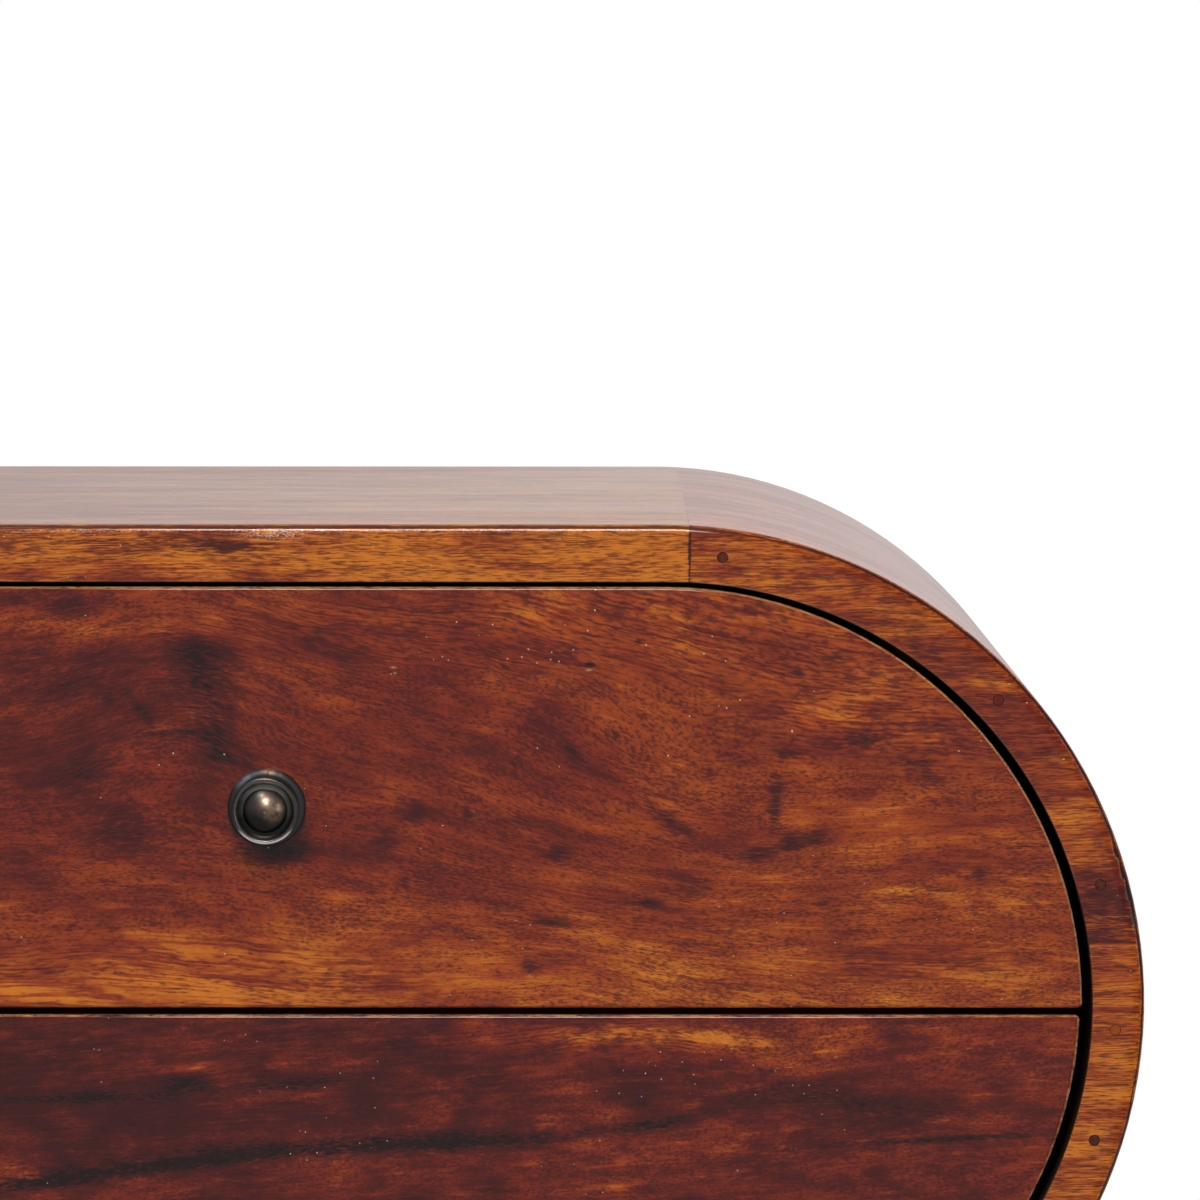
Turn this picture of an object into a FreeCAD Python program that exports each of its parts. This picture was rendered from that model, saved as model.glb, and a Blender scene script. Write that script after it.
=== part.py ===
import FreeCAD, Part
import math
import os

# Capsule-fronted nightstand with two inset drawers, on four splayed legs.
# Millimetres. +Z is up, the drawers face -Y, and the floor is at z = 0.

# Shell: a hollow capsule, built from two straight boards and four round quarters
BODY_WIDTH = 548.0
BODY_HEIGHT = 300.0
BODY_DEPTH = 380.0
SHELL_THICKNESS = 18.0
ENDS_THINNER = 1.5         # the round ends are this much thinner at their tips than the boards
FRONT_EDGE_ROUND = 2.6
INNER_EDGE_ROUND = 0.8
REAR_EDGE_ROUND = 1.2
SEAM_RUN = 7.7             # the boards end this far past the start of the round ends
SIDE_JOINT_RISE = 19.0     # height of the quarters' joint above the middle of the body
SHELL_DOWEL_RADIUS = 3.0
SHELL_DOWEL_LENGTH = 30.0
SHELL_DOWEL_INSET = 70.0   # front and rear dowels, from the front and rear of the shell
GLUE_GAP = 0.15            # room for glue round a dowel, pin, bolt or screw
NAIL_RADIUS = 1.6
NAIL_DEPTH = 5.0
UPPER_NAIL_ANGLES = (82.7, 42.6, 15.5)
LOWER_NAIL_ANGLES = (-3.2, -17.6, -60.0, -82.7)

# Back panel, let into a rabbet at the rear of the shell
BACK_THICKNESS = 6.0
RABBET_WIDTH = 9.0
BACK_SCREW_LENGTH = 22.0
BACK_SCREWS_ACROSS = 3     # along each straight board
BACK_SCREWS_ROUND = 2      # on each round quarter

# Wood screws
SCREW_RADIUS = 1.7
SCREW_HEAD_RADIUS = 3.4
SCREW_HEAD_HEIGHT = 2.2

# Partitions, divider and runners that carry the drawers
FIT_GAP = 0.2              # between pieces that are glued or housed
PARTITION_THICKNESS = 12.0
DIVIDER_THICKNESS = 18.0
DIVIDER_DEPTH = 110.0
DIVIDER_DOWEL_RADIUS = 4.0
DIVIDER_DOWEL_IN = 24.0
DIVIDER_DOWEL_OUT = 9.0
DIVIDER_DOWEL_INSET = 26.0
RUNNER_HEIGHT = 14.0
RUNNER_BITE = 6.6          # how far a runner reaches into the drawer side
RUNNER_PLAY = 0.3          # above and below a runner
RUNNER_LEAD = 24.0         # from the back of a drawer front to the runner's nose
RUNNER_END_GAP = 6.0
RUNNER_SCREW_LENGTH = 16.0
RUNNER_SCREW_INSET = 36.0

# Drawers
DRAWER_TOP_GAP = 1.4
UPPER_END_GAP = 3.0
LOWER_END_GAP = 3.7
SPLIT_GAP = 2.2
SPLIT_DROP = 2.3           # the drawers meet this far below the middle of the body
FRONT_SET_BACK = 0.8
FRONT_THICKNESS = 20.0
FRONT_ROUND = 1.3
FRONT_CORNER_ROUND = 1.6
BOX_REACH_SHARE = 0.52     # how far a drawer box reaches into the round ends, of their inner radius
BOX_HEADROOM = 12.0        # from the lower box's far edge to the inside of the round end
BOX_REAR_GAP = 18.0
BOX_DIVIDER_GAP = 3.0
BOX_SIDE_GAP = 1.5
SIDE_THICKNESS = 14.0
SIDE_HOUSING = 8.0         # how deep a side is let into the drawer front
DRAWER_BACK_THICKNESS = 12.0
DRAWER_BACK_INSET = 11.0
DRAWER_BACK_HOUSING = 5.0
DRAWER_BACK_DROP = 3.0
BOTTOM_THICKNESS = 5.0
BOTTOM_RISE = 8.0
BOTTOM_HOUSING = 5.0
BOTTOM_TONGUE_INSET = 24.0 # the panel's front corners are notched this far in
BEHIND_FRONT_GAP = 14.0    # from a drawer front to the partitions and divider

# Turn buttons, which stop a drawer at the divider
BUTTON_WIDTH = 15.0
BUTTON_LENGTH = 46.0
BUTTON_THICKNESS = 7.0
BUTTON_BITE = 6.0
BUTTON_SCREW_LENGTH = 15.0
BUTTON_SCREW_PLACE = 12.0  # from the button's far end

# Knobs
UPPER_KNOB_DROP = 3.0      # below the middle of the drawer front
LOWER_KNOB_DROP = 12.0
PLATE_RADIUS = 12.2
PLATE_THICKNESS = 3.0
PLATE_RIM = 1.1
KNOB_NECK_RADIUS = 4.4
KNOB_NECK_LENGTH = 3.6
KNOB_HEAD_RADIUS = 10.4
KNOB_HEAD_THICKNESS = 5.2
KNOB_RING_WIDTH = 1.4
KNOB_DISH_DEPTH = 1.5
KNOB_DOME_RADIUS = 7.0
KNOB_DOME_RISE = 4.2
KNOB_SCREW_RADIUS = 2.0
KNOB_SCREW_GRIP = 6.5
KNOB_SCREW_HEAD_RADIUS = 4.2
KNOB_SCREW_HEAD_HEIGHT = 2.6

# Legs, each on a cleat under the bottom board
LEG_HEIGHT = 245.0         # floor to the underside of the body
CLEAT_WIDTH = 46.0
CLEAT_THICKNESS = 24.0
CLEAT_INSET = 30.0         # cleat's middle, in from the start of the round ends
CLEAT_OVERRUN = 30.0       # cleat's end past the leg's middle
CLEAT_EDGE_ROUND = 4.0
CLEAT_SCREW_LENGTH = 36.0
CLEAT_SCREW_SPACING = 60.0
LEG_INSET = 65.0           # leg's middle, in from the front and rear of the body
LEG_TOP_RADIUS = 18.0
LEG_FOOT_RADIUS = 11.0
LEG_SPLAY_SIDE = 12.0      # degrees
LEG_SPLAY_FRONT = 5.0
BOLT_RADIUS = 4.0
BOLT_IN_LEG = 32.0
BOLT_SHY = 3.0             # the bolt stops this short of the cleat's top
GLIDE_RADIUS = 9.0
GLIDE_THICKNESS = 3.0

# Places worked out from the sizes above
OUTER_RADIUS = BODY_HEIGHT / 2
INNER_RADIUS = OUTER_RADIUS - SHELL_THICKNESS
SHELL_MIDDLE_RADIUS = OUTER_RADIUS - SHELL_THICKNESS / 2
STRAIGHT_HALF = BODY_WIDTH / 2 - OUTER_RADIUS
INNER_STRAIGHT_HALF = STRAIGHT_HALF + ENDS_THINNER
MIDDLE_Z = LEG_HEIGHT + OUTER_RADIUS
SEAM_X = STRAIGHT_HALF + SEAM_RUN
KNOB_LENGTH = (PLATE_THICKNESS + KNOB_NECK_LENGTH + KNOB_HEAD_THICKNESS - KNOB_DISH_DEPTH
               + KNOB_DOME_RISE)
KNOB_REACH = KNOB_LENGTH - FRONT_SET_BACK
FRONT_Y = (KNOB_REACH - BODY_DEPTH) / 2
REAR_Y = FRONT_Y + BODY_DEPTH
CENTRE_Y = (FRONT_Y + REAR_Y) / 2
BACK_Y = REAR_Y - BACK_THICKNESS
DRAWER_FACE_Y = FRONT_Y + FRONT_SET_BACK
DRAWER_BACK_FACE_Y = DRAWER_FACE_Y + FRONT_THICKNESS
INSIDE_FRONT_Y = DRAWER_BACK_FACE_Y + BEHIND_FRONT_GAP
DIVIDER_REAR_Y = INSIDE_FRONT_Y + DIVIDER_DEPTH
DRAWER_RADIUS = INNER_RADIUS - DRAWER_TOP_GAP
SPLIT_Z = MIDDLE_Z - SPLIT_DROP
BOX_REACH = BOX_REACH_SHARE * INNER_RADIUS
BOX_HALF = STRAIGHT_HALF + BOX_REACH
BOX_INNER_HALF = BOX_HALF - SIDE_THICKNESS
BOX_NEAR = DIVIDER_THICKNESS / 2 + BOX_DIVIDER_GAP
BOX_HEIGHT = math.sqrt(INNER_RADIUS ** 2 - BOX_REACH ** 2) - BOX_HEADROOM - SPLIT_DROP - BOX_NEAR
BOX_REAR_Y = BACK_Y - BOX_REAR_GAP
DRAWER_BACK_REAR_Y = BOX_REAR_Y - DRAWER_BACK_INSET
DRAWER_BACK_FRONT_Y = DRAWER_BACK_REAR_Y - DRAWER_BACK_THICKNESS
PARTITION_X = BOX_HALF + BOX_SIDE_GAP
RUNNER_NOSE_Y = DRAWER_BACK_FACE_Y + RUNNER_LEAD
RUNNER_END_Y = BACK_Y - RUNNER_END_GAP
RUNNER_INNER_X = BOX_HALF - RUNNER_BITE
CLEAT_X = STRAIGHT_HALF - CLEAT_INSET
CLEAT_BOTTOM_Z = LEG_HEIGHT - CLEAT_THICKNESS
LEG_OFFSET_Y = BODY_DEPTH / 2 - LEG_INSET
DRAWER_TRAVEL = DRAWER_BACK_REAR_Y - DIVIDER_REAR_Y

SIDES = {"left": -1, "right": 1}
MARGIN = 50.0              # how far a cutting block reaches past what it cuts


def vector(x, y, z):
    return FreeCAD.Vector(x, y, z)


def block(x0, x1, y0, y1, z0, z1):
    """A box between two values of x, y and z, each pair in either order."""
    corner = vector(min(x0, x1), min(y0, y1), min(z0, z1))
    return Part.makeBox(abs(x1 - x0), abs(y1 - y0), abs(z1 - z0), corner)


def rod(radius, start, end):
    """A round rod from one point to another."""
    return Part.makeCylinder(radius, (end - start).Length, start, end - start)


def capsule(straight_half, radius, y0, y1):
    """A solid with a capsule-shaped outline about the middle of the body."""
    top = MIDDLE_Z + radius
    bottom = MIDDLE_Z - radius
    tip = straight_half + radius
    edges = [
        Part.LineSegment(vector(-straight_half, y0, top), vector(straight_half, y0, top)).toShape(),
        Part.Arc(vector(straight_half, y0, top), vector(tip, y0, MIDDLE_Z),
                 vector(straight_half, y0, bottom)).toShape(),
        Part.LineSegment(vector(straight_half, y0, bottom), vector(-straight_half, y0, bottom)).toShape(),
        Part.Arc(vector(-straight_half, y0, bottom), vector(-tip, y0, MIDDLE_Z),
                 vector(-straight_half, y0, top)).toShape(),
    ]
    return Part.Face(Part.Wire(edges)).extrude(vector(0, y1 - y0, 0))


def from_spine(point, straight_half):
    """Distance of a point from the level line that a capsule is drawn about."""
    past_straight = max(abs(point.x) - straight_half, 0.0)
    return math.hypot(past_straight, point.z - MIDDLE_Z)


def face_loop(shape, y, straight_half, radius):
    """Edges that lie at depth y on the outline of a capsule."""
    loop = []
    for edge in shape.Edges:
        middle = edge.valueAt((edge.FirstParameter + edge.LastParameter) / 2)
        ends = [vertex.Point for vertex in edge.Vertexes]
        level = all(abs(point.y - y) < 1e-4 for point in ends + [middle])
        if level and abs(from_spine(middle, straight_half) - radius) < 1e-3:
            loop.append(edge)
    return loop


def edges_at_depth(shape, y):
    """All edges of a shape that lie in the plane at depth y."""
    return [edge for edge in shape.Edges
            if edge.BoundBox.YMin > y - 1e-4 and edge.BoundBox.YMax < y + 1e-4]


def one_solid(shape):
    """The only solid in the result of a cut, with split faces joined again."""
    solids = shape.removeSplitter().Solids
    assert len(solids) == 1, len(solids)
    return solids[0]


def cut_all(shape, tools):
    """A shape less every tool in a list."""
    return shape.cut(Part.makeCompound(tools)) if tools else shape


def lathe(start, moves, base, axis):
    """A turned solid. Its half profile is lines and arcs in (radius, height) about the axis."""
    edges = []
    here = vector(start[0], 0, start[1])
    first = here
    for move in moves:
        there = vector(move[-2], 0, move[-1])
        if len(move) == 2:
            edges.append(Part.LineSegment(here, there).toShape())
        else:
            edges.append(Part.Arc(here, vector(move[0], 0, move[1]), there).toShape())
        here = there
    edges.append(Part.LineSegment(here, first).toShape())
    turned = Part.Face(Part.Wire(edges)).revolve(vector(0, 0, 0), vector(0, 0, 1), 360)
    turned.Placement = FreeCAD.Placement(base, FreeCAD.Rotation(vector(0, 0, 1), axis))
    return turned.Solids[0] if turned.Solids else Part.Solid(Part.Shell(turned.Faces))


def wood_screw(head, direction, length):
    """A countersunk screw whose head lies flush at a point, driven along a direction."""
    moves = [
        (SCREW_HEAD_RADIUS, 0.0),
        (SCREW_RADIUS, SCREW_HEAD_HEIGHT),
        (SCREW_RADIUS, length - 2 * SCREW_RADIUS),
        (0.0, length),
    ]
    return lathe((0.0, 0.0), moves, head, direction)


def wood_screw_hole(head, direction, length):
    """The countersunk hole for a screw, with room all round it."""
    wide = SCREW_RADIUS + GLUE_GAP
    wide_head = SCREW_HEAD_RADIUS + GLUE_GAP
    moves = [
        (wide_head, -GLUE_GAP),
        (wide_head, 0.0),
        (wide, SCREW_HEAD_HEIGHT),
        (wide, length - 2 * SCREW_RADIUS),
        (0.0, length + GLUE_GAP),
    ]
    return lathe((0.0, -GLUE_GAP), moves, head, direction)


def nail_places():
    """Front points of the filled nail holes, on the middle of the round quarters."""
    for side in SIDES.values():
        for angle in UPPER_NAIL_ANGLES + LOWER_NAIL_ANGLES:
            turn = math.radians(angle)
            x = side * (STRAIGHT_HALF + SHELL_MIDDLE_RADIUS * math.cos(turn))
            yield vector(x, FRONT_Y, MIDDLE_Z + SHELL_MIDDLE_RADIUS * math.sin(turn))


def nail_plugs(extra):
    """The plugs of filler, or with extra room their holes."""
    return [rod(NAIL_RADIUS + extra, place, place + vector(0, NAIL_DEPTH + extra, 0))
            for place in nail_places()]


def shell_dowels(extra):
    """The dowels across the shell's six joints, or with extra room their holes."""
    half = SHELL_DOWEL_LENGTH / 2 + extra
    radius = SHELL_DOWEL_RADIUS + extra
    side_x = STRAIGHT_HALF + math.sqrt(SHELL_MIDDLE_RADIUS ** 2 - SIDE_JOINT_RISE ** 2)
    side_z = MIDDLE_Z + SIDE_JOINT_RISE
    dowels = []
    for y in (FRONT_Y + SHELL_DOWEL_INSET, CENTRE_Y, REAR_Y - SHELL_DOWEL_INSET):
        for side in SIDES.values():
            for level in (-1, 1):
                z = MIDDLE_Z + level * SHELL_MIDDLE_RADIUS
                x = side * SEAM_X
                dowels.append(rod(radius, vector(x - half, y, z), vector(x + half, y, z)))
            x = side * side_x
            dowels.append(rod(radius, vector(x, y, side_z - half), vector(x, y, side_z + half)))
    return dowels


def back_screw_places():
    """Where the back panel's screws go, on the middle of the rabbet's ledge."""
    radius = INNER_RADIUS + RABBET_WIDTH / 2
    places = []
    for level in (-1, 1):
        for number in range(BACK_SCREWS_ACROSS):
            x = STRAIGHT_HALF * (2 * number / (BACK_SCREWS_ACROSS - 1) - 1)
            places.append(vector(x, REAR_Y, MIDDLE_Z + level * radius))
        for side in SIDES.values():
            for number in range(BACK_SCREWS_ROUND):
                turn = math.radians(90 * (number + 0.5) / BACK_SCREWS_ROUND)
                x = side * (STRAIGHT_HALF + radius * math.cos(turn))
                places.append(vector(x, REAR_Y, MIDDLE_Z + level * radius * math.sin(turn)))
    return places


def back_screws(maker):
    return [maker(place, vector(0, -1, 0), BACK_SCREW_LENGTH) for place in back_screw_places()]


def cleat_screw_places(side):
    """Where one cleat's screws go, on its underside between the legs."""
    for step in (-1, 0, 1):
        yield vector(side * CLEAT_X, CENTRE_Y + step * CLEAT_SCREW_SPACING, CLEAT_BOTTOM_Z)


def cleat_screws(side, maker):
    return [maker(place, vector(0, 0, 1), CLEAT_SCREW_LENGTH) for place in cleat_screw_places(side)]


def whole_shell():
    """The capsule shell before it is divided, with its edges eased and every hole in it."""
    shell = capsule(STRAIGHT_HALF, OUTER_RADIUS, FRONT_Y, REAR_Y)
    shell = shell.cut(capsule(INNER_STRAIGHT_HALF, INNER_RADIUS, FRONT_Y - MARGIN, REAR_Y + MARGIN))
    rabbet = capsule(STRAIGHT_HALF, INNER_RADIUS + RABBET_WIDTH, BACK_Y, REAR_Y + MARGIN)
    shell = shell.cut(rabbet)
    shell = shell.makeFillet(FRONT_EDGE_ROUND, face_loop(shell, FRONT_Y, STRAIGHT_HALF, OUTER_RADIUS))
    shell = shell.makeFillet(INNER_EDGE_ROUND, face_loop(shell, FRONT_Y, INNER_STRAIGHT_HALF, INNER_RADIUS))
    shell = shell.makeFillet(REAR_EDGE_ROUND, face_loop(shell, REAR_Y, STRAIGHT_HALF, OUTER_RADIUS))
    holes = shell_dowels(GLUE_GAP) + nail_plugs(GLUE_GAP) + back_screws(wood_screw_hole)
    for side in SIDES.values():
        holes += cleat_screws(side, wood_screw_hole)
    return cut_all(shell, holes)


def shell_pieces():
    """The two boards and four round quarters that the shell is jointed from."""
    shell = whole_shell()
    y0 = FRONT_Y - MARGIN
    y1 = REAR_Y + MARGIN
    joint_z = MIDDLE_Z + SIDE_JOINT_RISE
    above = MIDDLE_Z + OUTER_RADIUS + MARGIN
    below = MIDDLE_Z - OUTER_RADIUS - MARGIN
    pieces = {
        "top_board": shell.common(block(-SEAM_X, SEAM_X, y0, y1, MIDDLE_Z, above)),
        "bottom_board": shell.common(block(-SEAM_X, SEAM_X, y0, y1, MIDDLE_Z, below)),
    }
    for name, side in SIDES.items():
        seam = side * SEAM_X
        outside = side * (BODY_WIDTH / 2 + MARGIN)
        pieces["upper_" + name + "_end"] = shell.common(block(seam, outside, y0, y1, joint_z, above))
        pieces["lower_" + name + "_end"] = shell.common(block(seam, outside, y0, y1, joint_z, below))
    return {name: one_solid(piece) for name, piece in pieces.items()}


def back_panel():
    """The thin panel in the rabbet, with a countersunk hole for each screw."""
    radius = INNER_RADIUS + RABBET_WIDTH - FIT_GAP
    panel = capsule(STRAIGHT_HALF, radius, BACK_Y, REAR_Y)
    return one_solid(cut_all(panel, back_screws(wood_screw_hole)))


def runner_levels():
    """Height of each drawer's runners: the middle of its sides."""
    middle = BOX_NEAR + BOX_HEIGHT / 2
    return {"upper": SPLIT_Z + middle, "lower": SPLIT_Z - middle}


def runner_screws(side, z, maker):
    """Two screws through a runner into its partition."""
    places = (RUNNER_NOSE_Y + RUNNER_SCREW_INSET, RUNNER_END_Y - RUNNER_SCREW_INSET)
    return [maker(vector(side * RUNNER_INNER_X, y, z), vector(side, 0, 0), RUNNER_SCREW_LENGTH)
            for y in places]


def divider_dowels(side, extra):
    """Two dowels through a partition into the divider, or with extra room their holes."""
    inner = side * (PARTITION_X - DIVIDER_DOWEL_IN - extra)
    outer = side * (PARTITION_X + DIVIDER_DOWEL_OUT + extra)
    places = (INSIDE_FRONT_Y + DIVIDER_DOWEL_INSET, DIVIDER_REAR_Y - DIVIDER_DOWEL_INSET)
    return [rod(DIVIDER_DOWEL_RADIUS + extra, vector(inner, y, SPLIT_Z), vector(outer, y, SPLIT_Z))
            for y in places]


def partition(side):
    """An upright board inside a round end, cut to the curve above and below."""
    inner = side * PARTITION_X
    outer = side * (PARTITION_X + PARTITION_THICKNESS)
    board = block(inner, outer, INSIDE_FRONT_Y, BACK_Y - FIT_GAP,
                  MIDDLE_Z - OUTER_RADIUS, MIDDLE_Z + OUTER_RADIUS)
    board = board.common(capsule(INNER_STRAIGHT_HALF, INNER_RADIUS - FIT_GAP, FRONT_Y, REAR_Y))
    holes = divider_dowels(side, GLUE_GAP)
    for z in runner_levels().values():
        holes += runner_screws(side, z, wood_screw_hole)
    return one_solid(cut_all(board, holes))


def divider():
    """The board between the drawers, which ties the partitions and stops the drawers."""
    board = block(-PARTITION_X, PARTITION_X, INSIDE_FRONT_Y, DIVIDER_REAR_Y,
                  SPLIT_Z - DIVIDER_THICKNESS / 2, SPLIT_Z + DIVIDER_THICKNESS / 2)
    holes = divider_dowels(-1, GLUE_GAP) + divider_dowels(1, GLUE_GAP)
    return one_solid(cut_all(board, holes))


def runner(side, z):
    """A strip that a drawer's grooved side slides on. Its nose also stops the closing drawer."""
    strip = block(side * RUNNER_INNER_X, side * PARTITION_X, RUNNER_NOSE_Y, RUNNER_END_Y,
                  z - RUNNER_HEIGHT / 2, z + RUNNER_HEIGHT / 2)
    return one_solid(cut_all(strip, runner_screws(side, z, wood_screw_hole)))


def leg_axis(side, end):
    """Points on a leg's middle line at the floor and at the cleat."""
    top = vector(side * CLEAT_X, CENTRE_Y + end * LEG_OFFSET_Y, CLEAT_BOTTOM_Z)
    run_x = side * CLEAT_BOTTOM_Z * math.tan(math.radians(LEG_SPLAY_SIDE))
    run_y = end * CLEAT_BOTTOM_Z * math.tan(math.radians(LEG_SPLAY_FRONT))
    foot = vector(top.x + run_x, top.y + run_y, 0.0)
    return foot, top


def leg_bolt(side, end, extra):
    """The bolt along a leg's middle line into its cleat, or with extra room its hole."""
    foot, top = leg_axis(side, end)
    along = (top - foot).normalize()
    start = top - along * (BOLT_IN_LEG + extra)
    finish = top + along * ((CLEAT_THICKNESS - BOLT_SHY + extra) / along.z)
    return rod(BOLT_RADIUS + extra, start, finish)


def leg(side, end):
    """A turned, tapered and splayed leg, cut level at the cleat and above its glide."""
    foot, top = leg_axis(side, end)
    along = (top - foot).normalize()
    length = (top - foot).Length
    slope = (LEG_TOP_RADIUS - LEG_FOOT_RADIUS) / length
    start = foot - along * MARGIN
    cone = Part.makeCone(LEG_FOOT_RADIUS - slope * MARGIN, LEG_TOP_RADIUS + slope * MARGIN,
                         length + 2 * MARGIN, start, along)
    reach = BODY_WIDTH + BODY_DEPTH
    level_slice = block(-reach, reach, -reach, reach, GLIDE_THICKNESS, CLEAT_BOTTOM_Z)
    return one_solid(cone.common(level_slice).cut(leg_bolt(side, end, GLUE_GAP)))


def glide(side, end):
    """A round pad under a foot."""
    foot, top = leg_axis(side, end)
    middle = foot + (top - foot) * (GLIDE_THICKNESS / top.z)
    return Part.makeCylinder(GLIDE_RADIUS, GLIDE_THICKNESS, vector(middle.x, middle.y, 0.0))


def cleat(side):
    """The batten under the bottom board that carries a front and a rear leg."""
    half = LEG_OFFSET_Y + CLEAT_OVERRUN
    board = block(side * CLEAT_X - CLEAT_WIDTH / 2, side * CLEAT_X + CLEAT_WIDTH / 2,
                  CENTRE_Y - half, CENTRE_Y + half, CLEAT_BOTTOM_Z, LEG_HEIGHT)
    lower_edges = [edge for edge in board.Edges if edge.BoundBox.ZMax < CLEAT_BOTTOM_Z + 1e-4]
    board = board.makeFillet(CLEAT_EDGE_ROUND, lower_edges)
    holes = cleat_screws(side, wood_screw_hole)
    holes += [leg_bolt(side, end, GLUE_GAP) for end in (-1, 1)]
    return one_solid(cut_all(board, holes))


def eased_front_board(level, end_gap):
    """A capsule's upper or lower part with its corners and the edge of its face rounded."""
    straight_half = INNER_STRAIGHT_HALF - (end_gap - DRAWER_TOP_GAP)
    split_z = SPLIT_Z + level * SPLIT_GAP / 2
    board = capsule(straight_half, DRAWER_RADIUS, DRAWER_FACE_Y, DRAWER_BACK_FACE_Y)
    half = block(-BODY_WIDTH, BODY_WIDTH, FRONT_Y, REAR_Y, split_z, split_z + level * BODY_HEIGHT)
    board = board.common(half)
    corners = [edge for edge in board.Edges
               if edge.BoundBox.YLength > FRONT_THICKNESS / 2
               and abs(edge.BoundBox.Center.z - split_z) < 1e-3]
    board = board.makeFillet(FRONT_CORNER_ROUND, corners)
    return board.makeFillet(FRONT_ROUND, edges_at_depth(board, DRAWER_FACE_Y))


class Drawer:
    """The places of one drawer, upper (level 1) or lower (level -1)."""

    def __init__(self, level):
        self.level = level
        self.end_gap = UPPER_END_GAP if level > 0 else LOWER_END_GAP
        self.floor_z = SPLIT_Z + (BOX_NEAR if level > 0 else -BOX_NEAR - BOX_HEIGHT)
        self.top_z = self.floor_z + BOX_HEIGHT
        self.bottom_z = self.floor_z + BOTTOM_RISE
        self.back_z = self.bottom_z + BOTTOM_THICKNESS
        self.runner_z = (self.floor_z + self.top_z) / 2
        near_edge = SPLIT_Z + level * SPLIT_GAP / 2
        far_edge = MIDDLE_Z + level * DRAWER_RADIUS
        knob_drop = UPPER_KNOB_DROP if level > 0 else LOWER_KNOB_DROP
        self.knob_z = (near_edge + far_edge) / 2 - knob_drop
        self.button_tip_z = SPLIT_Z + level * (DIVIDER_THICKNESS / 2 - BUTTON_BITE)
        self.button_end_z = self.button_tip_z + level * BUTTON_LENGTH
        self.button_screw_z = self.button_end_z - level * BUTTON_SCREW_PLACE

    def side_block(self, side, extra):
        """A drawer side before its grooves, or with extra room its housing in the front."""
        return block(side * (BOX_INNER_HALF - extra), side * (BOX_HALF + extra),
                     DRAWER_BACK_FACE_Y - SIDE_HOUSING - extra, BOX_REAR_Y,
                     self.floor_z - extra, self.top_z + extra)

    def bottom_block(self, extra):
        """The bottom panel behind the front, or with extra room its grooves in the sides."""
        half = BOX_INNER_HALF + BOTTOM_HOUSING + extra
        return block(-half, half, DRAWER_BACK_FACE_Y + FIT_GAP - extra, DRAWER_BACK_REAR_Y,
                     self.bottom_z - extra, self.bottom_z + BOTTOM_THICKNESS + extra)

    def bottom_tongue(self, extra):
        """The narrower front edge of the bottom panel, or with extra room its groove in the front."""
        half = BOX_INNER_HALF - BOTTOM_TONGUE_INSET + extra
        return block(-half, half, DRAWER_BACK_FACE_Y - BOTTOM_HOUSING - extra, DRAWER_BACK_FACE_Y + FIT_GAP,
                     self.bottom_z - extra, self.bottom_z + BOTTOM_THICKNESS + extra)

    def bottom_board(self):
        return one_solid(self.bottom_block(0.0).fuse(self.bottom_tongue(0.0)))

    def back_block(self, extra):
        """The drawer's back, or with extra room its housings in the sides."""
        half = BOX_INNER_HALF + DRAWER_BACK_HOUSING + extra
        return block(-half, half, DRAWER_BACK_FRONT_Y - extra, DRAWER_BACK_REAR_Y + extra,
                     self.back_z + FIT_GAP - extra, self.top_z - DRAWER_BACK_DROP + extra)

    def knob_axis(self, y):
        return vector(0, y, self.knob_z)

    def knob_screw_hole(self, y0, y1):
        return rod(KNOB_SCREW_RADIUS + GLUE_GAP, self.knob_axis(y0), self.knob_axis(y1))

    def button_screw(self, maker):
        head = vector(0, DRAWER_BACK_REAR_Y + BUTTON_THICKNESS, self.button_screw_z)
        return maker(head, vector(0, -1, 0), BUTTON_SCREW_LENGTH)

    def front(self):
        """Half of a capsule, eased round its face, housed behind for the sides and the bottom."""
        board = eased_front_board(self.level, self.end_gap)
        cuts = [self.side_block(side, FIT_GAP) for side in SIDES.values()]
        cuts.append(self.bottom_tongue(FIT_GAP))
        cuts.append(self.knob_screw_hole(FRONT_Y - MARGIN, DRAWER_BACK_FACE_Y + MARGIN))
        return one_solid(cut_all(board, cuts))

    def runner_groove(self, side):
        """The groove on a side's outer face, open behind and stopped just ahead of the runner."""
        half = RUNNER_HEIGHT / 2 + RUNNER_PLAY
        return block(side * (RUNNER_INNER_X - RUNNER_PLAY), side * (BOX_HALF + MARGIN),
                     RUNNER_NOSE_Y - RUNNER_PLAY, BOX_REAR_Y + MARGIN,
                     self.runner_z - half, self.runner_z + half)

    def side_board(self, side):
        """A side, grooved for its runner and the bottom, and housed for the back."""
        cuts = [self.runner_groove(side), self.bottom_block(FIT_GAP), self.back_block(FIT_GAP)]
        return one_solid(cut_all(self.side_block(side, 0.0), cuts))

    def back_board(self):
        return one_solid(self.back_block(0.0).cut(self.button_screw(wood_screw_hole)))

    def stop_button(self):
        """A round-ended turn button on the drawer's back that meets the divider's rear edge."""
        low = min(self.button_tip_z, self.button_end_z)
        bar = block(-BUTTON_WIDTH / 2, BUTTON_WIDTH / 2, DRAWER_BACK_REAR_Y,
                    DRAWER_BACK_REAR_Y + BUTTON_THICKNESS, low, low + BUTTON_LENGTH)
        end_edges = [edge for edge in bar.Edges if edge.BoundBox.YLength > BUTTON_THICKNESS / 2]
        bar = bar.makeFillet(BUTTON_WIDTH / 3, end_edges)
        return one_solid(bar.cut(self.button_screw(wood_screw_hole)))

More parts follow.
